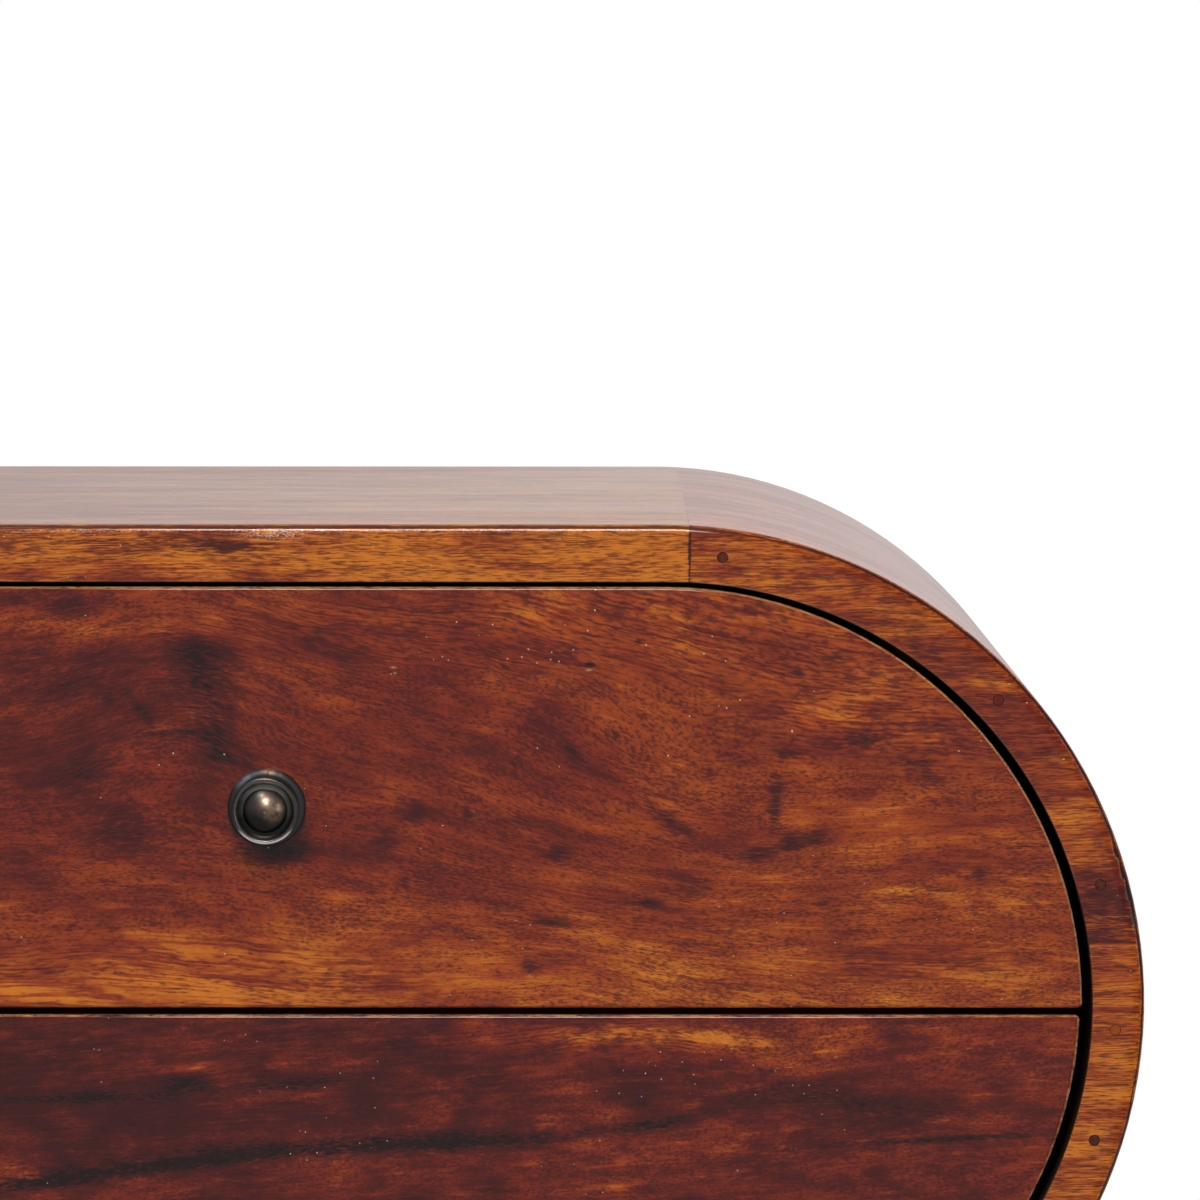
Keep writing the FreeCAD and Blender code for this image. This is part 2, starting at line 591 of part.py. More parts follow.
    def knob_plate(self):
        """The round plate behind the knob, with a rounded shoulder."""
        shoulder = PLATE_RADIUS - (PLATE_THICKNESS - PLATE_RIM)
        bulge = PLATE_RADIUS - (PLATE_THICKNESS - PLATE_RIM) * (1 - math.sqrt(0.5))
        crown = PLATE_RIM + (PLATE_THICKNESS - PLATE_RIM) * math.sqrt(0.5)
        bore = KNOB_SCREW_RADIUS + GLUE_GAP
        moves = [
            (PLATE_RADIUS, 0.0),
            (PLATE_RADIUS, PLATE_RIM),
            (bulge, crown, shoulder, PLATE_THICKNESS),
            (bore, PLATE_THICKNESS),
        ]
        return lathe((bore, 0.0), moves, self.knob_axis(DRAWER_FACE_Y), vector(0, -1, 0))

    def knob(self):
        """A turned knob: neck, flared head with a raised ring, dished inside, domed in the middle."""
        neck_top = PLATE_THICKNESS + KNOB_NECK_LENGTH
        rim = neck_top + KNOB_HEAD_THICKNESS
        ring_radius = KNOB_RING_WIDTH / 2
        ring_inner = KNOB_HEAD_RADIUS - KNOB_RING_WIDTH
        dish = rim - KNOB_DISH_DEPTH
        flare_out = KNOB_HEAD_RADIUS - KNOB_NECK_RADIUS
        flare_up = KNOB_HEAD_THICKNESS - ring_radius
        dome_sphere = (KNOB_DOME_RADIUS ** 2 + KNOB_DOME_RISE ** 2) / (2 * KNOB_DOME_RISE)
        dome_middle = dish + KNOB_DOME_RISE - dome_sphere
        half_turn = math.asin(KNOB_DOME_RADIUS / dome_sphere) / 2
        bore = KNOB_SCREW_RADIUS + GLUE_GAP
        grip = PLATE_THICKNESS + KNOB_SCREW_GRIP + GLUE_GAP
        cove_drop = KNOB_DISH_DEPTH * (1 - math.sqrt(0.5))
        cove_width = ring_inner - KNOB_DOME_RADIUS
        moves = [
            (KNOB_NECK_RADIUS, PLATE_THICKNESS),
            (KNOB_NECK_RADIUS, neck_top),
            (KNOB_NECK_RADIUS + flare_out * math.sqrt(0.5), neck_top + flare_up * (1 - math.sqrt(0.5)),
             KNOB_HEAD_RADIUS, neck_top + flare_up),
            (KNOB_HEAD_RADIUS - ring_radius, rim, ring_inner, rim - ring_radius),
            (ring_inner - cove_width * (1 - math.sqrt(0.5)), dish + cove_drop / 2, KNOB_DOME_RADIUS, dish),
            (dome_sphere * math.sin(half_turn), dome_middle + dome_sphere * math.cos(half_turn),
             0.0, dish + KNOB_DOME_RISE),
            (0.0, grip),
            (bore, grip),
        ]
        return lathe((bore, PLATE_THICKNESS), moves, self.knob_axis(DRAWER_FACE_Y), vector(0, -1, 0))

    def knob_screw(self):
        """A pan-headed screw from inside the drawer through the front and plate into the knob."""
        length = FRONT_THICKNESS + PLATE_THICKNESS + KNOB_SCREW_GRIP
        head_round = KNOB_SCREW_HEAD_HEIGHT / 2
        moves = [
            (KNOB_SCREW_HEAD_RADIUS - head_round, -KNOB_SCREW_HEAD_HEIGHT),
            (KNOB_SCREW_HEAD_RADIUS - head_round * (1 - math.sqrt(0.5)),
             -head_round * (1 + math.sqrt(0.5)), KNOB_SCREW_HEAD_RADIUS, -head_round),
            (KNOB_SCREW_HEAD_RADIUS, 0.0),
            (KNOB_SCREW_RADIUS, 0.0),
            (KNOB_SCREW_RADIUS, length),
            (0.0, length),
        ]
        base = self.knob_axis(DRAWER_BACK_FACE_Y)
        return lathe((0.0, -KNOB_SCREW_HEAD_HEIGHT), moves, base, vector(0, -1, 0))

    def pieces(self, name):
        found = {
            "drawer_front": self.front(),
            "drawer_back": self.back_board(),
            "drawer_bottom": self.bottom_board(),
            "stop_button": self.stop_button(),
            "stop_button_screw": self.button_screw(wood_screw),
            "knob_plate": self.knob_plate(),
            "knob": self.knob(),
            "knob_screw": self.knob_screw(),
        }
        for side_name, side in SIDES.items():
            found["drawer_" + side_name + "_side"] = self.side_board(side)
        return {name + "_" + piece: shape for piece, shape in found.items()}


def carcass_pieces():
    """Everything that stands still: shell, back, inside boards, runners, legs and fasteners."""
    pieces = shell_pieces()
    pieces["back_panel"] = back_panel()
    pieces["divider_board"] = divider()
    runner_fasteners = []
    cleat_fasteners = []
    dowels = []
    bolts = []
    glides = []
    for name, side in SIDES.items():
        pieces[name + "_partition"] = partition(side)
        pieces[name + "_leg_cleat"] = cleat(side)
        dowels += divider_dowels(side, 0.0)
        cleat_fasteners += cleat_screws(side, wood_screw)
        for level, z in runner_levels().items():
            pieces[level + "_" + name + "_runner"] = runner(side, z)
            runner_fasteners += runner_screws(side, z, wood_screw)
        for end_name, end in {"front": -1, "rear": 1}.items():
            pieces[end_name + "_" + name + "_leg"] = leg(side, end)
            bolts.append(leg_bolt(side, end, 0.0))
            glides.append(glide(side, end))
    pieces["shell_dowels"] = Part.makeCompound(shell_dowels(0.0))
    pieces["nail_plugs"] = Part.makeCompound(nail_plugs(0.0))
    pieces["back_panel_screws"] = Part.makeCompound(back_screws(wood_screw))
    pieces["divider_dowels"] = Part.makeCompound(dowels)
    pieces["runner_screws"] = Part.makeCompound(runner_fasteners)
    pieces["cleat_screws"] = Part.makeCompound(cleat_fasteners)
    pieces["leg_bolts"] = Part.makeCompound(bolts)
    pieces["leg_glides"] = Part.makeCompound(glides)
    return pieces


def main():
    os.makedirs("parts", exist_ok=True)
    pieces = carcass_pieces()
    pieces.update(Drawer(1).pieces("upper"))
    pieces.update(Drawer(-1).pieces("lower"))
    for name, shape in pieces.items():
        assert shape.isValid(), name
        shape.exportStep("parts/" + name + ".step")
    whole = Part.makeCompound(list(pieces.values())).BoundBox
    print(len(pieces), "nodes, box", whole)
    print("drawer travel", DRAWER_TRAVEL, "front y", FRONT_Y, "middle z", MIDDLE_Z)


main()
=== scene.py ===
# %% [markdown]
# # A capsule-fronted nightstand in lacquered hardwood
# The real cabinet is a hollow capsule of jointed boards, stained red-brown and
# lacquered, with two inset drawers, bronze knobs and four splayed legs.
# Its solids come from CAD and stay where they are. This lesson sets up the
# studio and makes each finish from nodes. The studio floor is the only new
# surface, and numpy works it out.

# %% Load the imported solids
import math

import bpy
import numpy as np
from mathutils import Matrix, Vector


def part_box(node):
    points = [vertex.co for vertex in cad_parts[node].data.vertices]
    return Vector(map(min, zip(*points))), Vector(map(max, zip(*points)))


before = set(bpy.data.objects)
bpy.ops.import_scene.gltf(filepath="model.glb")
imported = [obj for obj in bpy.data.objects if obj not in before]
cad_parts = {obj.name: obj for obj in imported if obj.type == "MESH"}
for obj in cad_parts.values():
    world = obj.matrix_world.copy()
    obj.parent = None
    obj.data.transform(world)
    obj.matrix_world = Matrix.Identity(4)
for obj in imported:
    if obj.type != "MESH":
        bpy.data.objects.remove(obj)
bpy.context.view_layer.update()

# %% [markdown]
# ## The camera
# The photograph is a long-lens close view of the cabinet's upper right part,
# so the frame cuts the object off at the left and below. The place, tilt and
# lens below were worked out from the corners, seams and edges that show.

# %% Camera
CAMERA_PLACE = (0.1047, -2.1532, 0.6574)
CAMERA_PITCH = math.radians(3.943)  # downwards
CAMERA_YAW = math.radians(-0.026)   # towards +X
CAMERA_ROLL = math.radians(0.026)
CAMERA_LENS = 190.6                 # millimetres, on a 36 mm sensor

forward = Vector((math.sin(CAMERA_YAW) * math.cos(CAMERA_PITCH),
                  math.cos(CAMERA_YAW) * math.cos(CAMERA_PITCH),
                  -math.sin(CAMERA_PITCH)))
level_right = Vector((math.cos(CAMERA_YAW), -math.sin(CAMERA_YAW), 0))
straight_up = level_right.cross(forward)
right = math.cos(CAMERA_ROLL) * level_right + math.sin(CAMERA_ROLL) * straight_up
upward = math.cos(CAMERA_ROLL) * straight_up - math.sin(CAMERA_ROLL) * level_right

scene = bpy.context.scene
camera_data = bpy.data.cameras.new("camera")
camera_data.lens = CAMERA_LENS
camera_data.sensor_width = 36.0
camera = bpy.data.objects.new("camera", camera_data)
scene.collection.objects.link(camera)
turn = Matrix((right, upward, -forward)).transposed().to_4x4()
camera.matrix_world = Matrix.Translation(CAMERA_PLACE) @ turn
scene.camera = camera
scene.view_settings.view_transform = "Standard"
print("camera at", CAMERA_PLACE, "with a lens of", CAMERA_LENS, "mm")

# %% [markdown]
# ## Nodes in plain words
# Every finish here is a tree of shader nodes. These few helpers add a node,
# set or link its sockets, and hand back its output, so that a material reads
# like a sum instead of a page of wiring.

# %% Node helpers
def fill(tree, inputs, sockets):
    """Links or sets each of a node's inputs, by name or number."""
    for key, value in sockets.items():
        if isinstance(value, bpy.types.NodeSocket):
            tree.links.new(value, inputs[key])
        else:
            inputs[key].default_value = value


def add_node(tree, kind, sockets=None, **settings):
    """A new node with its settings made and its inputs filled."""
    node = tree.nodes.new("ShaderNode" + kind)
    for name, value in settings.items():
        setattr(node, name, value)
    fill(tree, node.inputs, sockets or {})
    return node


def calc(tree, operation, *values):
    """A Math node's result."""
    return add_node(tree, "Math", dict(enumerate(values)), operation=operation).outputs[0]


def add_up(tree, total, *terms):
    """A total with each (value, strength) multiplied and added to it in turn."""
    for value, strength in terms:
        total = calc(tree, "MULTIPLY_ADD", value, strength, total)
    return total


def steer(tree, operation, *values):
    """A Vector Math node's vector."""
    node = add_node(tree, "VectorMath", dict(enumerate(values)), operation=operation)
    return node.outputs[0]


def axes(tree, place):
    """A vector's X, Y and Z, by name."""
    return add_node(tree, "SeparateXYZ", {0: place}).outputs


def vector(tree, **parts):
    """A vector from its X, Y and Z. What is left out is 0."""
    return add_node(tree, "CombineXYZ", parts).outputs[0]


def length(tree, place):
    """How long a vector is."""
    return add_node(tree, "VectorMath", {0: place}, operation="LENGTH").outputs["Value"]


print("node helpers ready")

# %% [markdown]
# ## Noise, colours and relief
# A finish varies by noise, which is stretched along the grain by giving its
# cells other sizes along x, y and z. Smooth steps turn noise into masks, ramps
# turn it into colour, and a Bump node turns it into relief.

# %% Noise and colour helpers
def fade(tree, value, low, high):
    """0 below low, 1 above high, and a smooth step between them."""
    sockets = {"Value": value, "From Min": low, "From Max": high}
    node = add_node(tree, "MapRange", sockets, interpolation_type="SMOOTHSTEP")
    return node.outputs["Result"]


def cloud(tree, place, cell, detail=2.0, roughness=0.5):
    """Noise from 0 to 1 about one half. Its cells measure `cell` millimetres along x, y and z."""
    stretched = steer(tree, "DIVIDE", place, cell)
    sockets = {"Vector": stretched, "Scale": 1.0, "Detail": detail, "Roughness": roughness}
    return add_node(tree, "TexNoise", sockets).outputs[0]


def swing(tree, *noise):
    """The same noise, from -0.5 to 0.5 about zero."""
    return calc(tree, "SUBTRACT", cloud(tree, *noise), 0.5)


def blend_colour(tree, factor, first, second, mode="MIX"):
    """Two colours mixed by a factor."""
    node = add_node(tree, "Mix", {0: factor, 6: first, 7: second}, data_type="RGBA", blend_type=mode)
    return node.outputs[2]


def blend_value(tree, factor, first, second):
    """Two numbers mixed by a factor."""
    return add_node(tree, "Mix", {0: factor, 2: first, 3: second}).outputs[0]


def colour_ramp(tree, value, stops):
    """A Color Ramp through (position, (r, g, b)) stops."""
    node = add_node(tree, "ValToRGB", {0: value})
    elements = node.color_ramp.elements
    while len(elements) < len(stops):
        elements.new(0.5)
    for element, (position, rgb) in zip(elements, stops):
        element.position = position
        element.color = (*rgb, 1.0)
    return node.outputs["Color"]


def bumped(tree, height, strength, depth):
    """The normal of a surface with this relief, whose depth is in metres."""
    return add_node(tree, "Bump", {"Height": height, "Strength": strength, "Distance": depth}).outputs[0]


print("noise and colour helpers ready")

# %% [markdown]
# ## Groups and materials
# What several finishes share becomes a node group with named sockets. Every
# material starts from the same two things: one Principled shader, and the
# place on the object in millimetres, which moves along with its piece.

# %% Group and material helpers
def start_group(name, inputs, outputs):
    """An empty node group with named sockets, and what is inside its two ends."""
    group = bpy.data.node_groups.new(name, "ShaderNodeTree")
    for label, kind, value in inputs:
        socket = group.interface.new_socket(label, in_out="INPUT", socket_type="NodeSocket" + kind)
        if value is not None:
            socket.default_value = value
    for label, kind in outputs:
        group.interface.new_socket(label, in_out="OUTPUT", socket_type="NodeSocket" + kind)
    start = group.nodes.new("NodeGroupInput").outputs
    end = group.nodes.new("NodeGroupOutput").inputs
    return group, start, end


def use_group(tree, group, sockets):
    """A group placed in a tree. Returns its outputs."""
    return add_node(tree, "Group", sockets, node_tree=group).outputs


def start_material(name):
    """A material with only a Principled shader in it, and its Object place in millimetres."""
    material = bpy.data.materials.new(name)
    material.use_nodes = True
    tree = material.node_tree
    shader = tree.nodes["Principled BSDF"]
    metres = add_node(tree, "TexCoord").outputs["Object"]
    scaled = add_node(tree, "VectorMath", {0: metres, "Scale": 1000.0}, operation="SCALE")
    return material, tree, shader, scaled.outputs[0]


print("group and material helpers ready")

# %% [markdown]
# ## Light, background and floor
# The photograph was lit softly from above and in front, and the object stands
# on pure white. The world is white to the camera, and the lacquer mirrors a
# white backdrop behind the object. The light itself is a dimmer sky and three
# lamps, set so that a colour renders about as it is written.

# %% World
SKY_LEVEL = 0.36
BACKDROP = (0.3, 0.8)               # how far back a mirrored ray heads to meet the backdrop

world = bpy.data.worlds.new("studio")
scene.world = world
world.use_nodes = True
sky = world.node_tree
sky.nodes.clear()
dim = add_node(sky, "Background", {"Color": (1, 1, 1, 1), "Strength": SKY_LEVEL})
white = add_node(sky, "Background", {"Color": (1, 1, 1, 1), "Strength": 1.0})
rays = add_node(sky, "LightPath").outputs
direction = add_node(sky, "TexCoord").outputs["Generated"]
heading = axes(sky, direction)["Y"]
backdrop = calc(sky, "MULTIPLY", rays["Is Glossy Ray"], fade(sky, heading, *BACKDROP))
shown = calc(sky, "MAXIMUM", rays["Is Camera Ray"], backdrop)
both = add_node(sky, "MixShader", {0: shown, 1: dim.outputs[0], 2: white.outputs[0]})
add_node(sky, "OutputWorld", {"Surface": both.outputs[0]})
print("sky strength", SKY_LEVEL)

# %% [markdown]
# ## Lamps
# One soft lamp stands high in front. A small one hangs above the top, and a
# wide weak one fills the right side. They are area lamps, because a lamp's own
# size sets how soft its shadows and highlights are.

# %% Lamps
OBJECT_MIDDLE = Vector((0.0, 0.0, 0.42))
LAMPS = {                          # place, width, height, watts, colour
    "key_lamp": ((0.05, -1.75, 1.95), 0.5, 0.7, 30.0, (1.0, 0.98, 0.95)),
    "high_lamp": ((-0.5, -0.62, 2.2), 0.5, 0.3, 10.0, (1.0, 1.0, 1.0)),
    "fill_lamp": ((2.3, -1.3, 0.9), 0.9, 1.4, 8.0, (0.97, 0.98, 1.0)),
}
for name, (place, width, height, watts, tint) in LAMPS.items():
    lamp_data = bpy.data.lights.new(name, "AREA")
    lamp_data.shape = "RECTANGLE"
    lamp_data.size = width
    lamp_data.size_y = height
    lamp_data.energy = watts
    lamp_data.color = tint
    lamp = bpy.data.objects.new(name, lamp_data)
    lamp.location = place
    lamp.rotation_euler = (OBJECT_MIDDLE - lamp.location).to_track_quat("-Z", "Y").to_euler()
    scene.collection.objects.link(lamp)
print("lamps:", ", ".join(LAMPS))

# %% [markdown]
# ## The floor
# The floor is a round pale sheet. It takes the object's shadow near the legs
# and fades into the white background towards its rim, so no horizon shows.

# %% Floor
FLOOR_RADIUS = 1.45
FLOOR_CORNERS = 96
FADE_FROM = 0.55                    # metres from the middle
FADE_TO = 0.96 * FLOOR_RADIUS
FLOOR_GREYS = [(0.0, (0.80, 0.80, 0.80)), (1.0, (0.84, 0.84, 0.84))]


def mesh_object(name, points, faces):
    """A new object at the origin from arrays of points and faces, shaded smooth."""
    mesh = bpy.data.meshes.new(name)
    mesh.from_pydata(points.tolist(), [], faces.tolist())
    mesh.polygons.foreach_set("use_smooth", np.ones(len(mesh.polygons), bool))
    mesh.update()
    piece = bpy.data.objects.new(name, mesh)
    scene.collection.objects.link(piece)
    return piece


# the rim: the radius times the cosine and sine of evenly spaced angles
around = np.linspace(0.0, 2 * np.pi, FLOOR_CORNERS, endpoint=False)
rim = FLOOR_RADIUS * np.stack([np.cos(around), np.sin(around), 0 * around], axis=1)
floor = mesh_object("studio_floor", rim, np.arange(FLOOR_CORNERS)[None, :])
floor_paint, tree, shader, place = start_material("pale_floor")
mottle = cloud(tree, place, (400.0, 400.0, 400.0))
fill(tree, shader.inputs, {"Base Color": colour_ramp(tree, mottle, FLOOR_GREYS), "Roughness": 0.9,
                           "Specular IOR Level": 0.1})
to_rim = fade(tree, length(tree, place), 1000 * FADE_FROM, 1000 * FADE_TO)
fading = calc(tree, "MULTIPLY", to_rim, add_node(tree, "LightPath").outputs["Is Camera Ray"])
glow = add_node(tree, "Emission", {"Color": (1, 1, 1, 1), "Strength": 1.0})
surface = add_node(tree, "MixShader", {0: fading, 1: shader.outputs[0], 2: glow.outputs[0]})
tree.links.new(surface.outputs[0], tree.nodes["Material Output"].inputs["Surface"])
floor.data.materials.append(floor_paint)
print("floor", 2 * FLOOR_RADIUS, "metres across")

# %% [markdown]
# ## Where the figure lies
# Stained hardwood shows light and dark patches, and grain that turns in
# places. A soft patch is an ellipse that fades out from its middle: one number,
# the exponential of minus the squared distance, measured in half-lengths.

# %% Group: soft patch
patch_group, start, end = start_group(
    "soft_patch",
    [("Place", "Vector", None), ("Middle", "Vector", None), ("Halves", "Vector", (1, 1, 1)),
     ("Turn", "Float", 0.0)],
    [("Mask", "Float")])
tree = patch_group
away = steer(tree, "SUBTRACT", start["Place"], start["Middle"])
turned = add_node(tree, "VectorRotate", {"Vector": away, "Axis": (0, 1, 0), "Angle": start["Turn"]})
shares = steer(tree, "DIVIDE", turned.outputs[0], start["Halves"])
square = add_node(tree, "VectorMath", {0: shares, 1: shares}, operation="DOT_PRODUCT").outputs["Value"]
mask = calc(tree, "POWER", math.e, calc(tree, "MULTIPLY", square, -1.0))
tree.links.new(mask, end["Mask"])
print("group", patch_group.name)

# %% [markdown]
# ## Grain space
# A board's grain runs along X, may lie turned in places, and wanders slowly up
# and down. Instead of drawing lines, the group bends space: it turns the place
# about Y and adds slow, quick and small wanders to the height across the grain.
# Patterns read in that space then flow as the wood does. The board number
# moves each board to wood of its own.

# %% Group: grain space
BOARD_STEP = (437.0, 271.0, 353.0)  # millimetres of wood between one board and the next
QUICK_SHARE = 0.16
CURL_SHARE = 0.06
SIDE_SHARE = 0.4                    # how much of the wander also goes into the depth
grain_group, start, end = start_group(
    "grain_space",
    [("Place", "Vector", None), ("Board", "Float", 0.0), ("Turn", "Float", 0.0), ("Wander", "Float", 8.0)],
    [("Grain", "Vector")])
tree = grain_group
board_shift = add_node(tree, "VectorMath", {0: BOARD_STEP, "Scale": start["Board"]},
                       operation="SCALE").outputs[0]
turned = add_node(tree, "VectorRotate",
                  {"Vector": start["Place"], "Axis": (0, 1, 0), "Angle": start["Turn"]})
moved = steer(tree, "ADD", turned.outputs[0], board_shift)
slow = swing(tree, moved, (140.0, 55.0, 55.0), 2.0)
quick = swing(tree, moved, (38.0, 15.0, 15.0), 1.0)
curl = swing(tree, moved, (9.0, 5.0, 5.0), 1.0)
wander = add_up(tree, slow, (quick, QUICK_SHARE), (curl, CURL_SHARE))
rise = calc(tree, "MULTIPLY", wander, calc(tree, "MULTIPLY", start["Wander"], 2.0))
offset = vector(tree, Y=calc(tree, "MULTIPLY", rise, SIDE_SHARE), Z=rise)
tree.links.new(steer(tree, "ADD", moved, offset), end["Grain"])
print("group", grain_group.name)

# %% [markdown]
# ## Clouds, flecks, hairs and flames
# Close up, the stain has settled unevenly: wide clouds, smaller mottles, ragged
# dark blotches, and thousands of short dark flecks where the open pores drank
# it, with fine hairs and brighter flames between them. Each is noise stretched
# along the grain. A fleck begins where its noise passes a level, so a lower
# level makes flecks crowd together and a higher one leaves the wood clear.

# %% Groups: stain clouds and pore flecks
cloud_group, start, end = start_group("stain_clouds", [("Grain", "Vector", None)],
                                      [("Clouds", "Float"), ("Mottles", "Float"), ("Blotch", "Float")])
tree = cloud_group
fill(tree, end, {"Clouds": swing(tree, start["Grain"], (90.0, 28.0, 28.0), 3.0),
                 "Mottles": swing(tree, start["Grain"], (12.0, 3.8, 3.8), 5.0, 0.65),
                 "Blotch": swing(tree, start["Grain"], (24.0, 13.0, 13.0), 5.0, 0.62)})

fleck_group, start, end = start_group(
    "pore_flecks", [("Grain", "Vector", None), ("Level", "Float", 0.5)],
    [("Fleck", "Float"), ("Rough", "Float"), ("Hair", "Float"), ("Flame", "Float")])
tree = fleck_group
rough = cloud(tree, start["Grain"], (2.5, 0.60, 0.60), 3.0, 0.55)
fleck = fade(tree, calc(tree, "SUBTRACT", rough, start["Level"]), -0.10, 0.14)
hair = fade(tree, cloud(tree, start["Grain"], (24.0, 0.7, 0.7), 2.0), 0.46, 0.66)
flame = fade(tree, cloud(tree, start["Grain"], (9.0, 1.2, 1.2), 2.0), 0.52, 0.74)
fill(tree, end, {"Fleck": fleck, "Rough": rough, "Hair": hair, "Flame": flame})
print("groups", cloud_group.name, fleck_group.name)

# %% [markdown]
# ## The stain
# One stain covers the whole cabinet. Where the wood drank much of it, it is a
# near-black maroon; where little, a clear amber. So one ramp from dark to
# light serves every board, and only the tone differs.

# %% Group: stain colour
STAIN = [
    (0.00, (0.010, 0.0025, 0.0025)),
    (0.20, (0.045, 0.0055, 0.0045)),
    (0.40, (0.110, 0.0115, 0.0060)),
    (0.60, (0.185, 0.0215, 0.0070)),
    (0.80, (0.300, 0.0510, 0.0075)),
    (1.00, (0.520, 0.1500, 0.0120)),
]
MAROON = (0.046, 0.0062, 0.0068, 1.0)
NEAR_BLACK = (0.012, 0.0040, 0.0040, 1.0)
stain_group, start, end = start_group(
    "stain_colour", [("Tone", "Float", 0.5), ("Dark", "Float", 0.0), ("Deep", "Float", 0.0)],
    [("Colour", "Color")])
tree = stain_group
stained = blend_colour(tree, start["Dark"], colour_ramp(tree, start["Tone"], STAIN), MAROON)
tree.links.new(blend_colour(tree, start["Deep"], stained, NEAR_BLACK), end["Colour"])
print("group", stain_group.name, "with", len(STAIN), "stops")

# %% [markdown]
# ## The lacquer
# The lacquer is glossy but thin. It lies in slow waves over the wood, sinks a
# little into the flecks, and holds specks of dust. The pale specks also serve as
# painted glints. The group puts out a height for the Bump node and a mask of
# the pale specks.

# %% Group: lacquer skin
SPECK_CELL = (1.7, 1.7, 1.7)        # millimetres
SPECK_SIZE = (0.15, 0.08)           # distances from a cell's point, between which its speck begins
lacquer_group, start, end = start_group(
    "lacquer_skin",
    [("Place", "Vector", None), ("Grain", "Vector", None), ("Fleck", "Float", 0.0),
     ("Specks", "Float", 0.3)],
    [("Height", "Float"), ("Speck", "Float")])
tree = lacquer_group
waves = cloud(tree, start["Place"], (22.0, 22.0, 9.0), 1.0)
ripple = cloud(tree, start["Grain"], (6.0, 1.6, 1.6), 2.0)
height = add_up(tree, waves, (ripple, 0.12), (start["Fleck"], -0.05))
spread = steer(tree, "DIVIDE", start["Grain"], SPECK_CELL)
speck_cells = add_node(tree, "TexVoronoi", {"Vector": spread, "Scale": 1.0})
near = fade(tree, speck_cells.outputs["Distance"], *SPECK_SIZE)
chosen = add_node(tree, "SeparateColor", {0: speck_cells.outputs["Color"]}).outputs[0]
region = fade(tree, cloud(tree, start["Place"], (60.0, 60.0, 26.0), 2.0), 0.45, 0.75)
limit = calc(tree, "SUBTRACT", 1.0, calc(tree, "MULTIPLY", region, start["Specks"]))
speck = calc(tree, "MULTIPLY", near, calc(tree, "GREATER_THAN", chosen, limit))
fill(tree, end, {"Height": height, "Speck": speck})
print("group", lacquer_group.name)

# %% [markdown]
# ## Distance from the capsule's spine
# The body, its opening and the drawer fronts are all capsules about one level
# line. In the front's plane such an outline lies at one radius from a spine
# between two end centres, so one distance tells how far any edge is.

# %% Group: spine distance
SPINE_HEIGHT = 395.0                # millimetres
spine_group, start, end = start_group(
    "spine_distance", [("Place", "Vector", None), ("Half", "Float", 124.0)], [("Distance", "Float")])
tree = spine_group
parts = axes(tree, start["Place"])
from_middle = calc(tree, "ABSOLUTE", parts["X"])
past_end = calc(tree, "MAXIMUM", calc(tree, "SUBTRACT", from_middle, start["Half"]), 0.0)
above = calc(tree, "SUBTRACT", parts["Z"], SPINE_HEIGHT)
tree.links.new(length(tree, vector(tree, X=past_end, Z=above)), end["Distance"])
print("group", spine_group.name)

# %% [markdown]
# ## Patches and bent grain
# On the real boards the stain, the dirt and the grain change from place to
# place. Painting that would take a picture, so lists of soft patches say it
# instead. A patch is given by its middle (x, z), half-length and half-height
# in millimetres, its turn in degrees, and its strength. It lies on the front
# and fades out behind it, so that it draws no stripes along the outer faces.

# %% Patches and grain
FRONT_FACE = -183.15                # where the patches lie, in y
PATCH_DEPTH = 60.0                  # how far they reach into a board


def patch_sum(tree, place, patches, total=0.0):
    """Adds each patch's strength times its mask to a running total."""
    for middle_x, middle_z, half_length, half_height, degrees, strength in patches:
        mask = use_group(tree, patch_group, {
            "Place": place, "Middle": (middle_x, FRONT_FACE, middle_z),
            "Halves": (half_length, PATCH_DEPTH, half_height), "Turn": math.radians(degrees)})["Mask"]
        total = calc(tree, "MULTIPLY_ADD", mask, strength, total)
    return total


def along_axis(tree, place, axis):
    """The place with its axes swapped so that the grain's axis comes first."""
    if axis == "X":
        return place
    parts = axes(tree, place)
    order = {"Y": "YXZ", "Z": "ZYX"}[axis]
    return vector(tree, **{to: parts[source] for to, source in zip("XYZ", order)})


def bent_grain(tree, place, board, turn, wander, bends):
    """Grain space of a board, with its height raised by the bends so that the grain dips there."""
    sockets = {"Place": place, "Board": board, "Turn": math.radians(turn), "Wander": wander}
    grain = use_group(tree, grain_group, sockets)["Grain"]
    if not bends:
        return grain
    return steer(tree, "ADD", grain, vector(tree, Z=patch_sum(tree, place, bends)))


print("patches lie at y =", FRONT_FACE, "mm")

# %% [markdown]
# ## Weathered outer faces
# Behind the front edge the shell's stain has weathered, and about half of the
# lacquer is worn away. The photograph shows these faces at a very flat angle,
# where what is left of the lacquer mirrors the white backdrop. The shader does
# that by itself, so only the tint and the lacquer change here, and by place
# alone. A dark line follows the edge, and inside the opening all is dull, with
# a near-black painted shade on its faces.

# %% Weathered faces
EDGE_LINE = (0.070, 0.022, 0.010, 1.0)        # the dark line along the top board
EDGE_LINE_ROUND = (0.012, 0.005, 0.003, 1.0)  # and along the round ends
EDGE_LINE_STRENGTH = 0.9
EDGE_LINE_STARTS = (-182.85, -182.6)          # y, between which it comes in
EDGE_LINE_STOPS = (-182.2, -181.8)
BEHIND_EDGE = (-182.5, -182.1)                # y, between which the outer face begins
ROUND_ENDS = (130.0, 190.0)                   # distances from the middle
OUTER_LACQUER = (0.44, 0.57)                  # least and most lacquer left on the outer faces
SHELL_INSIDE = (125.5, 132.0)                 # straight half and radius of the opening
# painted shade on the faces inside the opening
PAINTED_SHADE_INSIDE = (0.024, 0.014, 0.010, 1.0)


